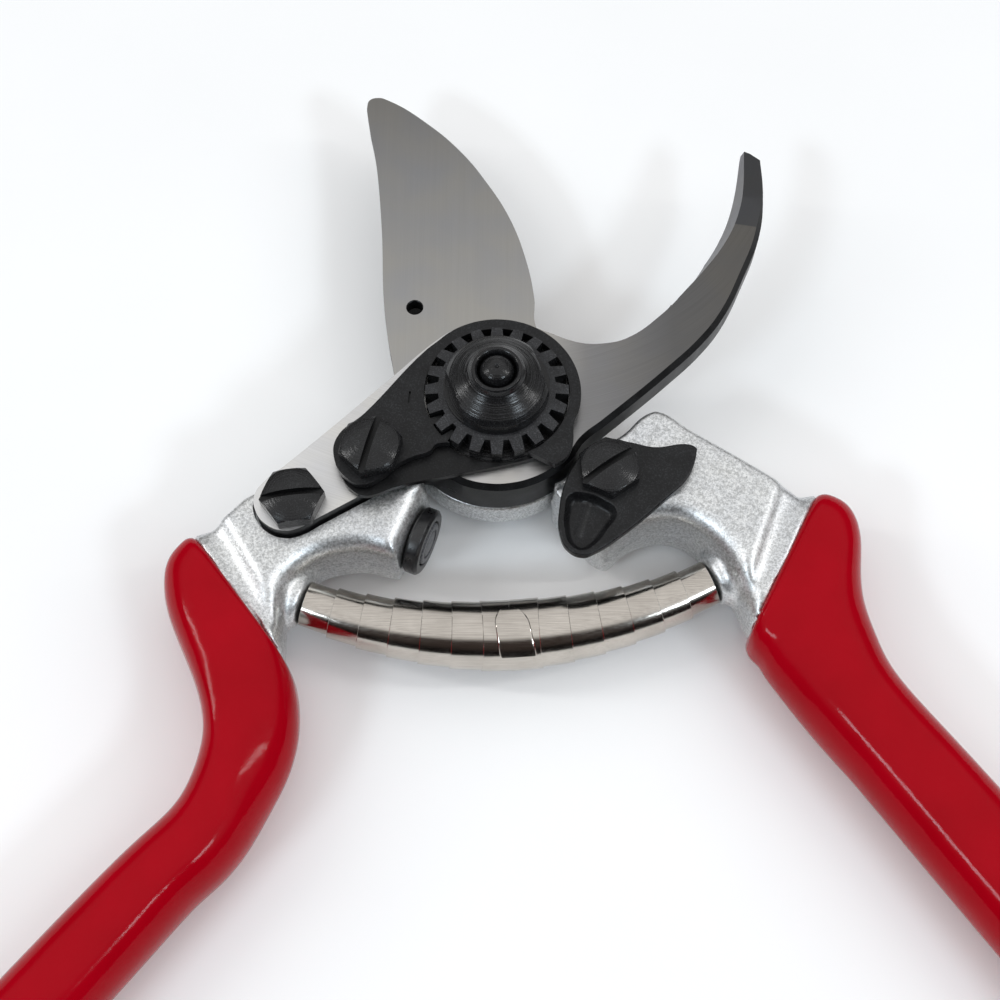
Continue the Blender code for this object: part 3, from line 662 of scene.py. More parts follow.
def coating():
    look = Look("red_coating", Metallic=0.0, Coat_Weight=0.0, Specular_IOR_Level=0.085)
    color = look.ramp(look.noise(0.12, 4), (0.3, (0.335, 0.0004, 0.006)), (0.7, (0.375, 0.0005, 0.0075)))
    layers = (look.noise(0.22, 2), 0.05), (look.noise(2.2, 3), 0.004), (look.noise(7.0, 2), 0.0012)
    return look.finished(color, look.span(look.noise(0.5, 5), 0.07, 0.13), *layers)


def cast():
    look = Look("cast_aluminium", Metallic=0.92)
    grain, blotch, broad = look.noise(5.0, 4), look.noise(2.3, 5), look.noise(0.12, 4)
    color = look.ramp(grain, (0.36, (0.60, 0.61, 0.62)), (0.6, (0.90, 0.905, 0.905)))
    color = look.tinted(color, blotch, (0.38, (0.70, 0.70, 0.695)), (0.58, 1.0))
    color = look.tinted(color, broad, (0.3, (0.9, 0.91, 0.93)), (0.7, (1.0, 1.0, 0.985)))
    return look.finished(color, look.span(blotch, 0.33, 0.44), (blotch, 0.022), (grain, 0.016))


def ground(name, stops, rough=(0.30, 0.40), centre=None, axis="X", marks=0.94):
    """Ground steel. The grinding marks run along the blade, or round a centre."""
    look = Look(name, Metallic=1.0)
    if centre is None:
        fine = look.noise(1.0, 4, stretch=(12, 0.08, 1), turn=90)
        broad = look.noise(1.0, 3, stretch=(60, 0.9, 4), turn=90)
    else:
        fine = look.noise(1.0, 4, vector=look.round_about(centre, 7.0, 3.0))
        broad = look.noise(1.0, 3, vector=look.round_about(centre, 1.2, 1.5))
    # The stops paint a tone along one axis; on the blade and the hook it is a painted reflection, darker
    # towards the tip.
    start, end = stops[0][0], stops[-1][0]
    along = look.span(look.coordinate(axis), 0.0, 1.0, start, end)
    color = look.ramp(along, *[((x - start) / (end - start), tone) for x, tone in stops])
    color = look.tinted(color, fine, (0.3, marks), (0.7, 1.0))
    color = look.tinted(color, broad, (0.35, (0.975, 0.975, 0.972)), (0.65, 1.0))
    color = look.tinted(color, look.noise(0.09, 2), (0.35, (0.93, 0.94, 0.98)), (0.65, (1.0, 0.985, 0.96)))
    return look.finished(color, look.span(fine, *rough), (broad, 0.0032), (fine, 0.004))


def black(name="black_oxide", shade=0.011, rough=(0.26, 0.38), speckle=0.008, turned_at=None, gloss=0.24):
    look = Look(name, Metallic=0.0, Specular_IOR_Level=gloss)
    grain, broad = look.noise(5.0, 4), look.noise(0.35, 5)
    low, high = (shade * 0.6, shade * 0.6, shade * 0.65), (shade * 1.1, shade * 1.12, shade * 1.2)
    color = look.tinted(look.ramp(broad, (0.3, low), (0.7, high)), grain, (0.5, 0.8), (0.75, 3.0))
    layers = [(look.noise(1.2, 3), speckle), (grain, speckle * 0.8)]
    if turned_at is not None:
        layers.append((look.noise(1.0, 2, vector=look.round_about(turned_at, 4.5, 0.15)), 0.05))
    return look.finished(color, look.span(broad, *rough), *layers)


def nickel():
    look = Look("nickel", Metallic=1.0)
    fine = look.noise(1.0, 4, stretch=(7, 0.12, 0.12))
    broad = look.noise(0.2, 3)
    color = look.ramp(broad, (0.3, (0.50, 0.465, 0.42)), (0.7, (0.60, 0.56, 0.51)))
    color = look.tinted(color, fine, (0.3, (0.80, 0.79, 0.78)), (0.6, 1.0))
    return look.finished(color, look.span(fine, 0.12, 0.2), (look.noise(0.35, 2), 0.010), (fine, 0.0018))


def bronze():
    look = Look("bronze", Metallic=1.0)
    tone = look.noise(0.8, 4)
    color = look.ramp(tone, (0.3, (0.38, 0.24, 0.10)), (0.7, (0.55, 0.37, 0.17)))
    turned = look.noise(1.0, 3, vector=look.round_about((0, 0), 5.0, 0.2))
    return look.finished(color, look.span(tone, 0.3, 0.45), (turned, 0.01))


def rubber():
    look = Look("rubber", Metallic=0.0, Specular_IOR_Level=0.5)
    tone = look.noise(1.5, 4)
    color = look.ramp(tone, (0.3, (0.009, 0.009, 0.010)), (0.7, (0.017, 0.017, 0.018)))
    return look.finished(color, look.span(tone, 0.24, 0.4), (look.noise(4.0, 3), 0.006))


RED, CAST, NICKEL, BRONZE, RUBBER = coating(), cast(), nickel(), bronze(), rubber()
BLACK = black()
# Dark black for walls, edges and the backing plate, and painted shade in the screws' slots and the blade's
# hole.
BLACK_EDGE_AND_SHADE = black("black_wall_and_painted_shade", 0.006, (0.3, 0.42), 0.006)
NUT_BLACK = black("black_nut", 0.010, (0.16, 0.25), 0.005, (0, 0), 0.34)
# A lighter black for the flat tops of the nut's teeth: a painted highlight.
TOOTH_TOP_HIGHLIGHT = black("tooth_top_painted_highlight", 0.03, (0.26, 0.38), 0.01)
# The blade's tone runs from 0.44 at the hub to 0.205 at the tip: a painted reflection, lighter near the hub
# and darker towards the tip.
BLADE_STEEL = ground(
    "blade_steel",
    (
        (-16, (0.44, 0.435, 0.425)), (20, (0.36, 0.355, 0.343)), (45, (0.275, 0.273, 0.268)),
        (62, (0.205, 0.202, 0.196)),
    ),
    axis="Y",
)
# The hook's tone runs from 0.82 at the tang to 0.13 at the tip: a painted reflection, bright on the tang and
# dark towards the tip.
HOOK_STEEL = ground(
    "hook_steel",
    (
        (-38, (0.82, 0.82, 0.81)), (3, (0.58, 0.57, 0.555)), (14, (0.27, 0.265, 0.257)),
        (28, (0.15, 0.147, 0.142)), (45, (0.13, 0.125, 0.118)),
    ),
    (0.32, 0.46), HOOK_CENTRE, marks=0.84,
)
WALL_TONES = (0, (0.22, 0.22, 0.23)), (45, (0.17, 0.17, 0.18))
WALL_STEEL = ground("hook_wall", WALL_TONES, (0.4, 0.5), HOOK_CENTRE)
TIP_TONES = (0, (0.10, 0.10, 0.105)), (45, (0.085, 0.087, 0.092))
TIP_STEEL = ground("hook_tip", TIP_TONES, (0.4, 0.5), HOOK_CENTRE)
DISC_STEEL = black("disc_steel", 0.10, (0.3, 0.42), 0.006)


def dressed(obj, body, slot, node, *materials, angle=30, flat=True):
    """Gives a finished piece its materials and its body, and hides the CAD node that it stands for; the slot
    is not used.
    """
    indices = np.zeros(len(obj.data.polygons), np.int32)
    obj.data.polygons.foreach_get("material_index", indices)
    obj.data.materials.clear()
    for material in materials:
        obj.data.materials.append(material)
    obj.data.polygons.foreach_set("material_index", np.minimum(indices, len(materials) - 1))
    obj.data.shade_smooth()
    if angle:
        obj.data.set_sharp_from_angle(angle=math.radians(angle))
    if flat:
        step = obj.modifiers.new("normals", "WEIGHTED_NORMAL")
        step.keep_sharp = True
        applied(obj)
    if body:
        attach(obj, body)
    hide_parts(node)
    return obj


# Grips
def controls(stations):
    """Control rows of a smooth spline that passes through the stations."""
    rows = np.array(stations)
    control = rows.copy()
    for _ in range(3):
        padded = np.vstack([2 * control[0] - control[1], control, 2 * control[-1] - control[-2]])
        control = control + 0.8 * (rows - (padded[:-2] + 4 * padded[1:-1] + padded[2:]) / 6)
    return np.vstack([2 * control[0] - control[1], control, 2 * control[-1] - control[-2]])


def station_at(control, t):
    i = min(int(t), len(control) - 4)
    f = t - i
    weights = ((1 - f) ** 3, 3 * f**3 - 6 * f**2 + 4, -3 * f**3 + 3 * f**2 + 3 * f + 1, f**3)
    return sum(w * control[i + k] for k, w in enumerate(weights)) / 6


def heading(first, second):
    """The direction from one station row's middle to the next one's."""
    way = (second - first)[:4].reshape(2, 2).mean(0)
    return way / np.linalg.norm(way)


def section(row, inset, power, shift=(0, 0), scale=1.0):
    count = 72
    outer, inner, half = row[:2], row[2:4], row[4]
    across = inner - outer
    middle = (inner + outer) / 2 + shift
    reach = across * (0.5 - inset / np.linalg.norm(across)) * scale
    turns = np.arange(count) * 2 * math.pi / count
    side, rise = (np.sign(wave) * np.abs(wave) ** (2 / power) for wave in (np.cos(turns), np.sin(turns)))
    flat = middle + np.outer(side, reach)
    return np.column_stack([flat, MID + (half - inset) * scale * rise])


def squareness(t):
    """The section's power along a handle: boxier at the mouth, rounder behind it."""
    return 2.2 + 1.2 * max(0.0, 1 - max(t, 0.0) / 4) ** 1.5


def grip(name, stations, body):
    control = controls(stations)
    last = len(stations) - 1
    lip = 1.1
    rings = [section(station_at(control, t), COAT, squareness(t)) for t in np.linspace(1.7, 0.0, 8)]
    for turn in np.radians(np.linspace(90, 0, 8)):
        t = lip * (1 - math.sin(turn)) / STATION_STEP
        rings.append(section(station_at(control, t), lip * (1 - math.cos(turn)), squareness(t)))
    rings += [section(station_at(control, t), 0, squareness(t)) for t in np.linspace(0.42, last, last * 8)]
    end = station_at(control, last)
    way = heading(station_at(control, last - 0.5), end)
    for turn in np.radians(np.linspace(8, 84, 12)):
        shift, scale = way * 6.1 * math.sin(turn), math.cos(turn) ** 0.9
        rings.append(section(end, 0, squareness(last), shift, scale))
    skin = outward(made(name + "_skin", np.vstack(rings), capped(len(rings), len(rings[0]))))
    dressed(skin, body, "red_coating", name, RED, angle=60, flat=False)


grip("left_grip", LEFT_STATIONS, "left_half")
grip("right_grip", RIGHT_STATIONS, "right_half")


# Castings
def core_stations(stations, inset, first, last):
    control = controls(stations)
    way = heading(station_at(control, 0), station_at(control, 0.6))
    rows = []
    for t in np.linspace(first, last, 6):
        row = station_at(control, max(t, 0))
        across = (row[2:4] - row[:2]) / np.linalg.norm(row[2:4] - row[:2])
        back = way * min(t, 0) * STATION_STEP
        rows.append((*(row[:2] + across * inset + back), *(row[2:4] - across * inset + back), row[4] - inset))
    return rows


def spring_line():
    """The centre and radius of the spring's arc, and the bearings of its ends."""
    a, b, c = (complex(*place) for place in (SPRING_ENDS[0], SPRING_SAG, SPRING_ENDS[1]))
    share = (c - a) / (b - a)
    centre = a + (b - a) * (share - abs(share) ** 2) / (2j * share.imag)
    start, end = (math.degrees(math.atan2((p - centre).imag, (p - centre).real)) for p in (a, c))
    return (centre.real, centre.imag), abs(a - centre), start, end


SPRING_CENTRE, SPRING_RADIUS, SPRING_START, SPRING_END = spring_line()


def cast_body(x, y, z, rest, guard, back, front):
    """The casting's plate: a fine edge where it is plain and a wide roll along the finger guard."""
    flat_x, flat_y = np.broadcast_arrays(x[:, :, 0], y[:, :, 0])
    ring = ring_of(rest + guard)
    flat = ring_distance(flat_x, flat_y, ring)
    near = line_distance(flat_x, flat_y, guard) - line_distance(flat_x, flat_y, rest)
    roll = 1.1 + 2.1 * np.clip(0.5 - near / 4, 0, 1)
    draft = 0.05 * np.abs(z - MID) - 0.16 * np.exp(-(((z - MID) / 0.4) ** 2))
    return extruded(flat[:, :, None] + draft, z, back, front, roll[:, :, None])


def upright(x, y, place, radius):
    return np.hypot(x - place[0], y - place[1]) - radius


def well(x, y, z, place, radius, floor):
    return np.maximum(upright(x, y, place, radius), floor - z)


def half_casting(x, y, z, body, levels, neck, blend, groove, stations, seat):
    """What both castings have: plate, neck, groove before the grip, core, spring seat and peg."""
    flat = np.broadcast_arrays(x[:, :, 0], y[:, :, 0])
    wide = [side[:, :, None] for side in flat]
    seat = x, y, z, *seat
    solid = cast_body(x, y, z, *body, *levels)
    bar = lofted(*wide, z, neck + core_stations(stations, 0.9, 0.0, 0.25)[:2])
    solid = smooth_min(solid, bar, blend)
    solid = smooth_min(solid, drum(*seat, SPRING_SEAT_RADIUS, -7, -0.05, rounding=0.8), 2.0)
    solid = smooth_max(solid, -rod(x, y, z, *groove), 1.4)
    solid = np.minimum(solid, lofted(*wide, z, core_stations(stations, 1.85, -0.4, 1.4)))
    return flat, np.minimum(solid, drum(*seat, PEG_RADIUS, -2, 4))


def left_casting():
    cell, low = 0.36, (-50.0, -47.0, 0.2)
    x, y, z = grid(low, (-8.0, 1.0, 16.6), cell)
    groove = (-42.6, -21.2), (-34.6, -34.4), 2.4, LEFT_FRONT + 1.1
    body = LEFT_BODY + arc(16.4, 190, 228, 6), LEFT_GUARD
    seat = SPRING_ENDS[0], SPRING_START + 90
    _, solid = half_casting(
        x, y, z, body, (LEFT_BACK, LEFT_FRONT), LEFT_NECK, 0.8, groove, LEFT_STATIONS, seat,
    )
    wells = [well(x, y, z, place, SCREW_HOLE, HOOK_BACK - 6) for place in (TANG_SCREW, SEGMENT_SCREW)]
    socket = drum(x, y, z, BUFFER_FACE, BUFFER_ANGLE, 2.3, -8, 4)
    solid = without(solid, socket, *wells, z - low[2] - 0.5)
    obj = surface("left_casting", solid, low, cell)
    boolean(obj, prism("pocket", grown(hook_ring(), 0.4), HOOK_BACK - 0.25, HOOK_FRONT + 3))
    dressed(obj, "left_half", "cast_aluminium", "left_handle", CAST, angle=50, flat=False)


def right_casting():
    cell, low = 0.38, (-15.8, -45.6, 0.2)
    x, y, z = grid(low, (55.0, 15.8, 17.4), cell)
    groove = (45.6, -13.4), (39.9, -28.2), 2.4, RIGHT_FRONT + 0.9
    body = RIGHT_BODY + arc(15.8, -28, -58, 6), RIGHT_GUARD
    seat = SPRING_ENDS[1], SPRING_END - 90
    flat, solid = half_casting(
        x, y, z, body, (RIGHT_BACK, RIGHT_FRONT), RIGHT_NECK, 1.6, groove, RIGHT_STATIONS, seat,
    )
    web = ring_distance(*flat, ring_of([(15.8, -15.5), (19.0, -7.0), (9.0, 2.0), (8.5, -8.5)]))
    web = extruded(web[:, :, None], z, HUB_BACK + 0.2, HUB_FRONT - 0.2, 0.3)
    hub = extruded(upright(x, y, (0, 0), HUB_RADIUS - 0.1), z, HUB_BACK, HUB_FRONT, 0.5)
    solid = smooth_min(solid, np.minimum(hub, web), 0.8)
    away = polar(1, BUFFER_ANGLE + CLOSING_ANGLE)
    met = rotate(BUFFER_FACE, CLOSING_ANGLE)
    beyond = (x - met[0]) * away[0] + (y - met[1]) * away[1]
    strike = np.maximum(np.maximum(beyond - 0.3, -19.7 - beyond), -upright(x, y, (0, 0), HUB_RADIUS + 0.6))
    solid = smooth_max(solid, -strike, 0.5)
    solid = without(
        solid,
        well(x, y, z, (0, 0), BUSH_HOLE, 0.0),
        well(x, y, z, CATCH_SCREW, SCREW_HOLE, RIGHT_FRONT - 6),
        well(x, y, z, CATCH_SCREW, WASHER_SEAT, RIGHT_FRONT - WASHER_SEAT_DEPTH),
        well(x, y, z, LOCATING_PIN, PIN_HOLE, HUB_BACK + 1),
    )
    pivot = np.array(CATCH_SCREW)
    for turn in (0, -7, -14, CATCH_TURN):
        swept = [rotate(point - pivot, turn) + pivot for point in ring_of(CATCH_DISH[::-1])]
        clear = ring_distance(*flat, np.array(swept))[:, :, None]
        solid = without(solid, np.maximum(clear - 0.3, CATCH_BACK - 2.6 - z))
    solid = without(solid, z - low[2] - 0.5)
    obj = surface("right_casting", solid, low, cell)
    dressed(obj, "right_half", "cast_aluminium", "right_handle", CAST, angle=50, flat=False)


left_casting()
right_casting()


# Blades
def part_of(ring, first, last):
    """The stretch of a ring between the points nearest to two places, in the ring's order."""
    a, b = (int(np.linalg.norm(ring - np.array(p), axis=1).argmin()) for p in (first, last))
    return ring[a : b + 1] if a <= b else np.vstack([ring[a:], ring[: b + 1]])


def cut_along(obj, path, section, index=0):
    """Cuts a bar of one section along part of an edge."""
    boolean(obj, sweep("bar", path, [section] * len(path), index))


def hook_blade():
    """The hook leans outwards at its inner wall, drops at its tip and has a chamfer along its back."""
    ring = hook_ring()
    holes = [circle(BOLT_HOLE), circle(SCREW_HOLE, TANG_SCREW), circle(SCREW_HOLE, SEGMENT_SCREW)]
    inner = part_of(ring, HOOK_TIP, HOOK_WALL_END)
    lean = np.interp(np.linspace(0, 1, len(inner)), WALL_SHARES, WALL_LEAN)
    start = int(np.linalg.norm(ring - inner[0], axis=1).argmin())
    wide, side = ring.copy(), grown(ring, 1.0) - ring
    for k, over in enumerate(lean):
        i = (start + k) % len(ring)
        wide[i] = ring[i] + side[i] * over
    back, top, tall = HOOK_BACK, HOOK_FRONT, HOOK_FRONT - HOOK_BACK
    obj = slab("hook_blade", [wide, *holes], back, top, walls=1)
    slope = [(0, top), (6, top - 0.55), (18, top - 3.2), (18, top + 2), (0, top + 2)]
    verts = [(along, across, height) for across in (-7, 7) for along, height in slope]
    tip = outward(made("tip", verts, capped(2, len(slope)), 3))
    boolean(obj, moved(tip, at((41.4, 32.4), 80)))
    path = part_of(wide, wide[start], HOOK_WALL_END)
    path = np.vstack([3 * path[0] - 2 * path[1], path])
    head, foot = top + 0.15 * tall, back - 0.3 * tall
    sections = [
        [(-over * 1.15, head), (over * 0.3, foot), (3, foot), (3, top + 1)]
        for over in np.append(lean[0], lean)[: len(path)] + 0.02
    ]
    boolean(obj, sweep("wall", path, sections, 2))
    width, depth = 0.8, 0.9
    rise = depth / width
    outer = part_of(ring, HOOK_TANG[0], (44.5, 42.5))
    near = -width - 0.4
    edge = [(near, top + 0.4 * rise), (1.5, top - depth - 1.5 * rise), (1.5, top + 2), (near, top + 2)]
    cut_along(obj, outer, edge, 1)
    looks = HOOK_STEEL, BLACK_EDGE_AND_SHADE, WALL_STEEL, TIP_STEEL
    dressed(obj, "left_half", "hook_steel", "counter_blade", *looks, angle=25)


def cutting_blade():
    ring = ring_of(BLADE_EDGE + arc(HUB_RADIUS - 0.2, 200, 410, 14))
    obj = slab("blade", [ring, circle(BUSH_HOLE)], BLADE_BACK, BLADE_FRONT, walls=1)
    bevel(obj, 0.14, 50, index=1, slide=True)
    edge = part_of(ring, EDGE_START, EDGE_END)
    edge = np.vstack([edge, 4 * edge[-1] - 3 * edge[-2]])
    back, slope = BLADE_BACK, (BLADE_FRONT - 0.25 - BLADE_BACK) / 4.5
    flat = [(-5.0, back - 0.5 * slope), (1.5, back + 6 * slope), (1.5, back - 1), (-5.0, back - 1)]
    cut_along(obj, edge, flat)
    top = BLADE_FRONT
    # The hole stops short of the back, and its faces take the darker black: painted shade in the hole.
    sink = [(0, top + 1), (2.5, top + 1), (1.25, top - 0.15), (1.2, back + 0.5), (0, back + 0.2)]
    boolean(obj, moved(lathe("sink", sink, 48, index=1), at(BLADE_HOLE)))
    boolean(obj, prism("pin", circle(PIN_HOLE, LOCATING_PIN, 24), back - 1, top - 0.8))
    dressed(obj, "right_half", "blade_steel", "cutting_blade", BLADE_STEEL, BLACK_EDGE_AND_SHADE, angle=25)


hook_blade()
cutting_blade()


# Pivot
def joined(obj, *others):
    shape = bmesh.new()
    shape.from_mesh(obj.data)
    for other in others:
        shape.from_mesh(other.data)
        bpy.data.objects.remove(other)
    shape.to_mesh(obj.data)
    shape.free()
    return obj


def nut():
    top = NUT_TOP
    star = toothed(TOOTH_TIP, TOOTH_ROOT, 0.35)
    teeth = slab("toothed_nut", [star, circle(BOLT_HOLE)], PLATE_BACK, TOOTH_TOP)
    foot = PLATE_BACK - 1
    slope = [(0, TOOTH_TOP), (8.5, TOOTH_TOP), (11.2, TOOTH_TOP - 0.8), (11.2, foot), (0, foot)]
    boolean(teeth, lathe("slope", slope), "INTERSECT")
    bevel(teeth, 0.2, 30)
    # The flat tops of the teeth take the lighter black, a painted highlight.
    for face in teeth.data.polygons:
        face.material_index = 1 if face.normal.z > 0.6 else 0
    rings = [circle(TOOTH_TIP - 0.05, sides=128), circle(BOLT_HOLE)]
    floor = slab("floor", rings, PLATE_BACK, PLATE_BACK + 0.8)
    bore = [(BOLT_HOLE, 20.0), (BOLT_HOLE, 25.2), (3.0, 25.2), (3.0, 27.0), (3.3, top)]
    side = [
        (3.7, top), (3.95, top - 0.3), (4.2, 26.5), (5.0, 25.8), (6.2, 25.05), (7.3, 24.35), (7.95, 23.6),
        (8.1, 22.9), (8.1, 20.0),
    ]
    dome = lathe("dome", rounded(bore + side, 0.14), 144, closed=True)
    for sign in (-1, 1):
        boolean(dome, box("flat", (10, 30, 12), (*polar(sign * 11.8, NUT_TURN), 28.0), NUT_TURN))
    bevel(dome, 0.2, 35)
    dressed(joined(teeth, floor, dome), "left_half", "black_oxide", "pivot_nut", NUT_BLACK, TOOTH_TOP_HIGHLIGHT)


def bolt():
    tip = [(0, -0.5), (0.35, 0), (1.2, -0.12), (2.0, -0.55), (2.5, -1.2), (2.6, -2.0)]
    tip = [(radius, BOLT_TIP + drop) for radius, drop in tip]
    shank = [(2.6, 24.9), (3.5, 24.8), (3.5, 3.6)]
    head = [(7.9, 3.4), (7.9, 0.6), (7.3, 0.0), (2.6, 0.0), (2.2, 0.35), (0, 0.35)]
    turned = lathe("bolt", rounded(tip + shank + head, 0.25, 3))
    dressed(turned, "left_half", "black_oxide", "pivot_bolt", NUT_BLACK)


def segment():
    ring = ring_of((SEGMENT_LOBE + arc(SEGMENT_RADIUS, 137, -25, 14) + SEGMENT_TOE)[::-1])
    obj = slab("segment", [ring, circle(SCREW_HOLE, SEGMENT_SCREW)], SEGMENT_BACK, SEGMENT_FRONT)
    pitch, wide, narrow = 360 / TEETH, TOOTH_TIP + 0.2, TOOTH_ROOT + 0.35
    room = []
    for i in range(TEETH):
        room += [polar(wide, (i + k) * pitch) for k in np.linspace(-0.32, 0.32, 5)]
        meshed = 11 <= i <= 12
        gap = ((narrow, 0.41), (narrow, 0.59)) if meshed else ((wide, 0.5),)
        room += [polar(radius, (i + k) * pitch) for radius, k in gap]
    boolean(obj, prism("room", np.array(room), SEGMENT_BACK - 1, SEGMENT_FRONT + 1))
    bevel(obj, 0.32, 35)
    boolean(obj, box("stamp", (0.28, 2.0, 0.8), (-13.4, -0.9, SEGMENT_FRONT), -4))
    dressed(obj, "left_half", "black_oxide", "toothed_segment", BLACK)


def plate():
    ring = ring_of((PLATE_LOBE + arc(SEGMENT_RADIUS - 0.7, 137, -50, 16))[::-1])
    holes = [circle(TOOTH_TIP + 0.3, sides=96), circle(SCREW_HOLE, SEGMENT_SCREW)]
    obj = slab("backing_plate", [ring, *holes], PLATE_BACK, PLATE_FRONT)
    bevel(obj, 0.25, 50)
    dressed(obj, "left_half", "black_oxide", "segment_plate", BLACK_EDGE_AND_SHADE)


def screw(name, place, seat, turn, depth, body, height=3.35):
    head = prism(name + "_head", circle(SCREW_HEX / math.sqrt(3), sides=6), seat + 0.05, seat + 4.5)
    drops = ((0, 0), (1.2, 0.06), (2.4, 0.26), (3.4, 0.55), (4.1, 0.82), (4.4, 0.98), (5.2, 1.6))
    dome = [(radius, seat + height - drop) for radius, drop in drops] + [(5.2, seat - 1), (0, seat - 1)]
    # A slight turn keeps the dome's seams off the head's corners.
    boolean(head, moved(lathe("dome", dome), at((0, 0), 0.5)), "INTERSECT")
    # The slot's faces take the darker black of index 1: painted shade inside the slot.
    boolean(head, box("slot", (14, 1.0, 2.6), (0, 0, seat + height), index=1))
    bevel(head, 0.16, 28)
    bar = [(0, 0.5), (2.0, 0.5), (2.0, 0.5 - depth), (1.5, -depth), (0, -depth)]
    shank = lathe("shank", [(radius, seat + level) for radius, level in bar], 32)
    obj = moved(joined(head, shank), at(place, turn))
    look = black(name + "_black", 0.011, (0.16, 0.26), 0.005, place, 0.34)
    dressed(obj, body, "black_oxide", name, look, BLACK_EDGE_AND_SHADE)


nut()
bolt()
segment()
plate()
screw("tang_screw", TANG_SCREW, HOOK_FRONT, TANG_SLOT, 9.5, "left_half")
screw("segment_screw", SEGMENT_SCREW, SEGMENT_FRONT, SEGMENT_SLOT, 12.0, "left_half")
screw("catch_screw", CATCH_SCREW, CATCH_FRONT, CATCH_SLOT, 6.5, "right_half", 2.7)


# Catch, buffer and spring
def smooth_step(t):
    t = np.clip(t, 0, 1)
    return t * t * (3 - 2 * t)


def thumb_catch():
    cell, low = 0.17, (8.6, -26.9, 13.6)
    x, y, z = grid(low, (31.2, -6.4, 19.0), cell)
    flat = np.broadcast_arrays(x[:, :, 0], y[:, :, 0])
    edge = ring_distance(*flat, ring_of(CATCH[::-1]))[:, :, None]
    dish = ring_distance(*flat, ring_of(CATCH_DISH[::-1]))[:, :, None]
    fold = line_distance(*flat, [(13.7, -17.2), (12.1, -22.3)])[:, :, None]
    depth = (2.6 - 0.9 * np.exp(-((fold / 0.6) ** 2))) * smooth_step(-dish / 1.3)
    under = CATCH_BACK - 0.36 * depth
    over = np.maximum(CATCH_FRONT - depth, under + 0.75)
    solid = without(extruded(edge, z, under, over, 0.3), upright(x, y, CATCH_SCREW, SCREW_HOLE))
    obj = surface("catch", solid, low, cell)
    dressed(obj, "catch", "black_oxide", "thumb_catch", BLACK, angle=0, flat=False)


def buffer():
    cup = [
        (0, -1.5), (3.55, -1.5), (3.7, -1.35), (3.7, -0.35), (3.85, -0.2), (4.9, -0.2), (5.35, -0.65),
        (5.35, -2.2), (5.0, -2.6), (2.0, -2.6), (2.0, -6.4), (0, -6.4),
    ]
    face = [
        (0, -0.12), (2.0, -0.12), (2.1, -0.3), (2.35, -0.3), (2.45, -0.05), (3.2, -0.05), (3.4, -0.25),
        (3.4, -1.2), (0, -1.2),
    ]
    place = laid(BUFFER_FACE, BUFFER_ANGLE)
    ring = moved(lathe("rubber_ring", rounded(cup, 0.12, 3)), place)
    dressed(ring, "left_half", "rubber", "buffer_rubber", RUBBER)
    disc = moved(lathe("steel_disc", rounded(face, 0.06, 2)), place)
    dressed(disc, "left_half", "black_oxide", "buffer_disc", DISC_STEEL)


def on_spring(share, radius, turn):
    """A point near the spring: its share of the arc, its distance from the arc and its turn about it."""
    bearing = SPRING_START + (SPRING_END - SPRING_START) * share
    out = SPRING_RADIUS + radius * math.cos(turn)
    return (*polar(out, bearing, SPRING_CENTRE), MID + radius * math.sin(turn))


def strip_end(verts, faces):
    """The rounded end of the strip, with a rolled rim, lying on the middle of the spring."""
    turns = np.radians([*np.linspace(36, 117.5, 25), 119])
    across = np.array([-1, -0.95, -0.9, *np.linspace(-0.8, 0.8, 9), 0.9, 0.95, 1])
    base, reach = len(verts), math.radians(32)
    for radius, roll in ((SPRING_MID_RADIUS + STRIP_THICKNESS, 0.2), (SPRING_MID_RADIUS - 0.3, 0.0)):
        for turn in turns:
            end = max(0.0, (turn - turns[-1]) / reach + 1)
            half = STRIP_HALF_WIDTH * math.sqrt(max(0.0, 1 - end * end))
            for side in across:
                fall = roll * max(0.0, (max(abs(side), end) - 0.9) / 0.1) ** 2
                share = STRIP_END + half * side + 0.012 * math.cos(turn)
                verts.append(on_spring(share, radius - fall, turn))
    rows, columns = len(turns), len(across)
    layer = rows * columns
    for i in range(rows - 1):
        for j in range(columns - 1):
            k = base + i * columns + j
            faces.append((k, k + 1, k + columns + 1, k + columns))
            faces.append((k + layer, k + layer + columns, k + layer + columns + 1, k + layer + 1))
    rim = [i * columns for i in range(rows)] + [(rows - 1) * columns + j for j in range(1, columns)]
    rim += [i * columns + columns - 1 for i in range(rows - 2, -1, -1)] + list(range(columns - 2, 0, -1))
    for a, b in zip(rim, rim[1:] + rim[:1]):
        faces.append((base + a, base + b, base + layer + b, base + layer + a))


def band(verts, faces, first, last, radii, skew):
    """One turn of the strip between two shares of the arc. Its ends lean by a helix."""
    sides, rows, thick, nick = 88, 6, 0.5, 0.05
    a, b = radii
    middle = list(zip(np.linspace(0, 1, rows), np.linspace(a, b, rows)))[1:-1]
    start, end = [(0.0, a - thick), (0.0, a - nick), (0.012, a)], [(0.988, b), (1.0, b - nick)]
    outline = [*start, *middle, *end, (1.0, b - thick)]
    faces.extend(bands(len(outline), sides, len(verts), closed=True))
    for share, radius in outline:
        for turn in np.arange(sides) * 2 * math.pi / sides:
            lean = skew * math.cos(turn - 0.9)
            verts.append(on_spring(first + (last - first) * share + lean, radius, turn))


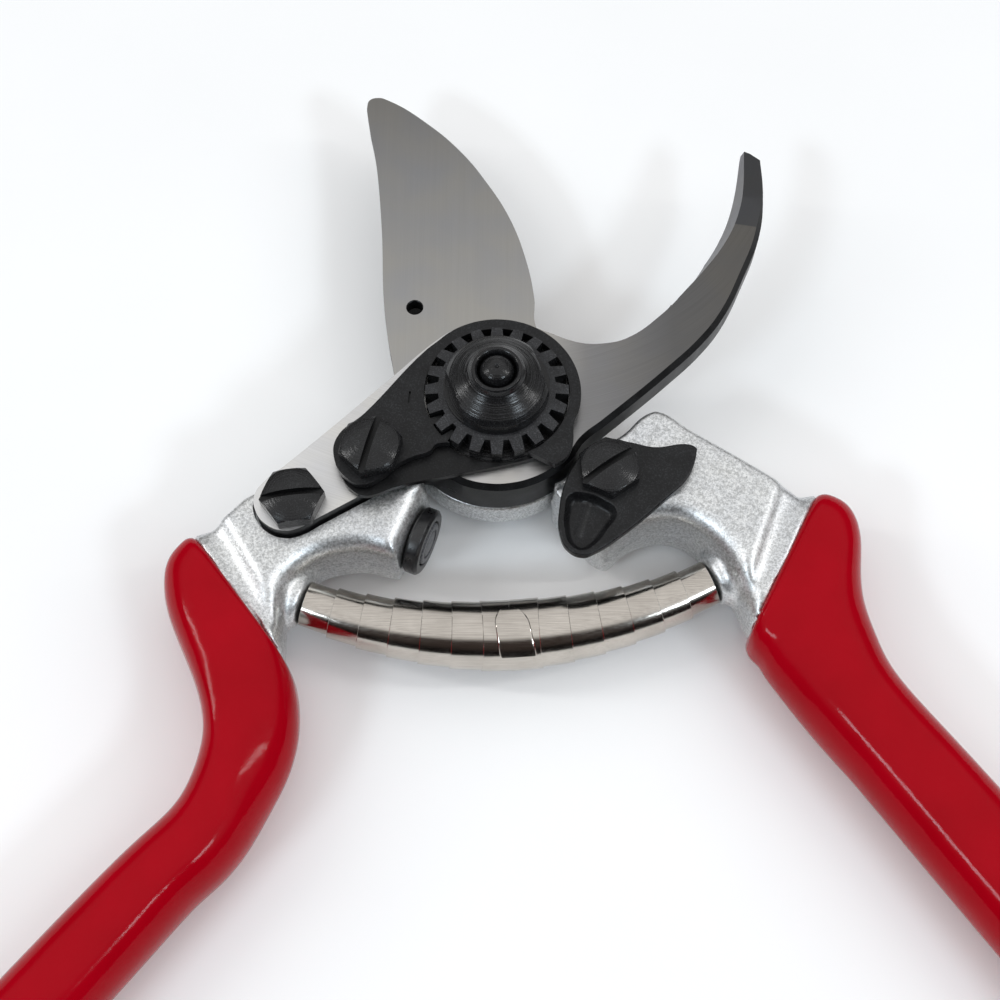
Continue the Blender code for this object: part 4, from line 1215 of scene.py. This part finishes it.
def spring():
    """Overlapping turns of one strip that step up to the middle."""
    verts, faces = [], []
    half, under, slope, skew = SPRING_BANDS // 2, 0.25, 0.03, 0.008
    for i in range(SPRING_BANDS):
        height = 1 - abs(2 * (i + 0.5) / SPRING_BANDS - 1)
        radius = SPRING_END_RADIUS + (SPRING_MID_RADIUS - SPRING_END_RADIUS) * height**0.7
        if i == half - 1:
            radius -= 0.06
        first, last = i, i + 1
        if i < half:
            last += under
        elif i > half:
            first -= under
        radii = (radius - slope, radius) if i < half else (radius, radius - slope)
        band(verts, faces, first / SPRING_BANDS, last / SPRING_BANDS, radii, skew if i < half else -skew)
    strip_end(verts, faces)
    obj = outward(made("spring", verts, faces))
    dressed(obj, None, "nickel", "volute_spring", NICKEL, angle=22, flat=False)
    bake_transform(obj)


thumb_catch()
buffer()
spring()

# Carried-over nodes
HIDDEN = ("pivot_bush", BRONZE), ("blade_locating_pin", BLADE_STEEL), ("catch_washer", BLADE_STEEL)
for name, look in HIDDEN:
    node = bpy.data.objects[name]
    node.data.materials.clear()
    node.data.materials.append(look)


# Stage
def floor():
    look = Look("pale_floor", Roughness=0.9)
    look.set("Base Color", look.ramp(look.noise(0.02, 3), (0.3, 0.93), (0.7, 0.95)))
    shape = bmesh.new()
    bmesh.ops.create_grid(shape, x_segments=8, y_segments=8, size=2.0)
    mesh = bpy.data.meshes.new("floor")
    shape.to_mesh(mesh)
    shape.free()
    mesh.materials.append(look.material)
    obj = placed("floor", mesh)
    obj.location.z = -0.0004


def soft_light(name, place, size, power, color=(1, 1, 1)):
    """A rectangular light that faces the shears."""
    data = bpy.data.lights.new(name, "AREA")
    data.shape = "RECTANGLE"
    data.size, data.size_y = size
    data.energy = power
    data.color = color
    obj = placed(name, data)
    obj.location = place
    obj.rotation_euler = (-Vector(place)).to_track_quat("-Z", "Y").to_euler()


def world():
    """A bright room, dark near the floor and on the near side, so that polished curves have contrast."""
    studio = bpy.data.worlds.new("studio")
    bpy.context.scene.world = studio
    studio.use_nodes = True
    nodes = Nodes(studio.node_tree)
    _, y, z = nodes.parts(nodes.node("ShaderNodeTexCoord").outputs["Generated"])
    room = nodes.ramp(
        z, (0.0, (0.05, 0.04, 0.035)), (0.3, (0.08, 0.072, 0.065)), (0.42, 0.62), (0.55, 0.88), (1.0, 1.0),
    )
    room = nodes.tinted(room, nodes.math("MULTIPLY", y, -1.0), (0.45, 1.0), (0.62, (0.06, 0.045, 0.04)))
    seen = nodes.node("ShaderNodeLightPath").outputs["Is Camera Ray"]
    nodes.link(nodes.mix(room, (1.0, 1.0, 1.0), seen), nodes.tree.nodes["Background"].inputs["Color"])


def camera():
    data = bpy.data.cameras.new("camera")
    data.lens = 52.2
    data.clip_start, data.clip_end = 0.01, 20
    obj = placed("camera", data)
    obj.location = (0.000465, -0.105877, 0.216212)
    obj.rotation_euler = (math.radians(24.1), 0, 0)
    bpy.context.scene.camera = obj


floor()
world()
for side, x, y, z in (("right", 0.95, 0.0, 0.85), ("left", -0.95, 0.1, 0.75)):
    soft_light("window_" + side, (x, y, z), (0.05, 0.7), 2.2)
for side, x in (("left", -0.76), ("right", 0.76)):
    soft_light("front_" + side, (x, -0.70, 0.80), (0.30, 0.14), 3.2, (0.80, 0.91, 1.0))
camera()
bpy.context.scene.view_settings.view_transform = "Standard"
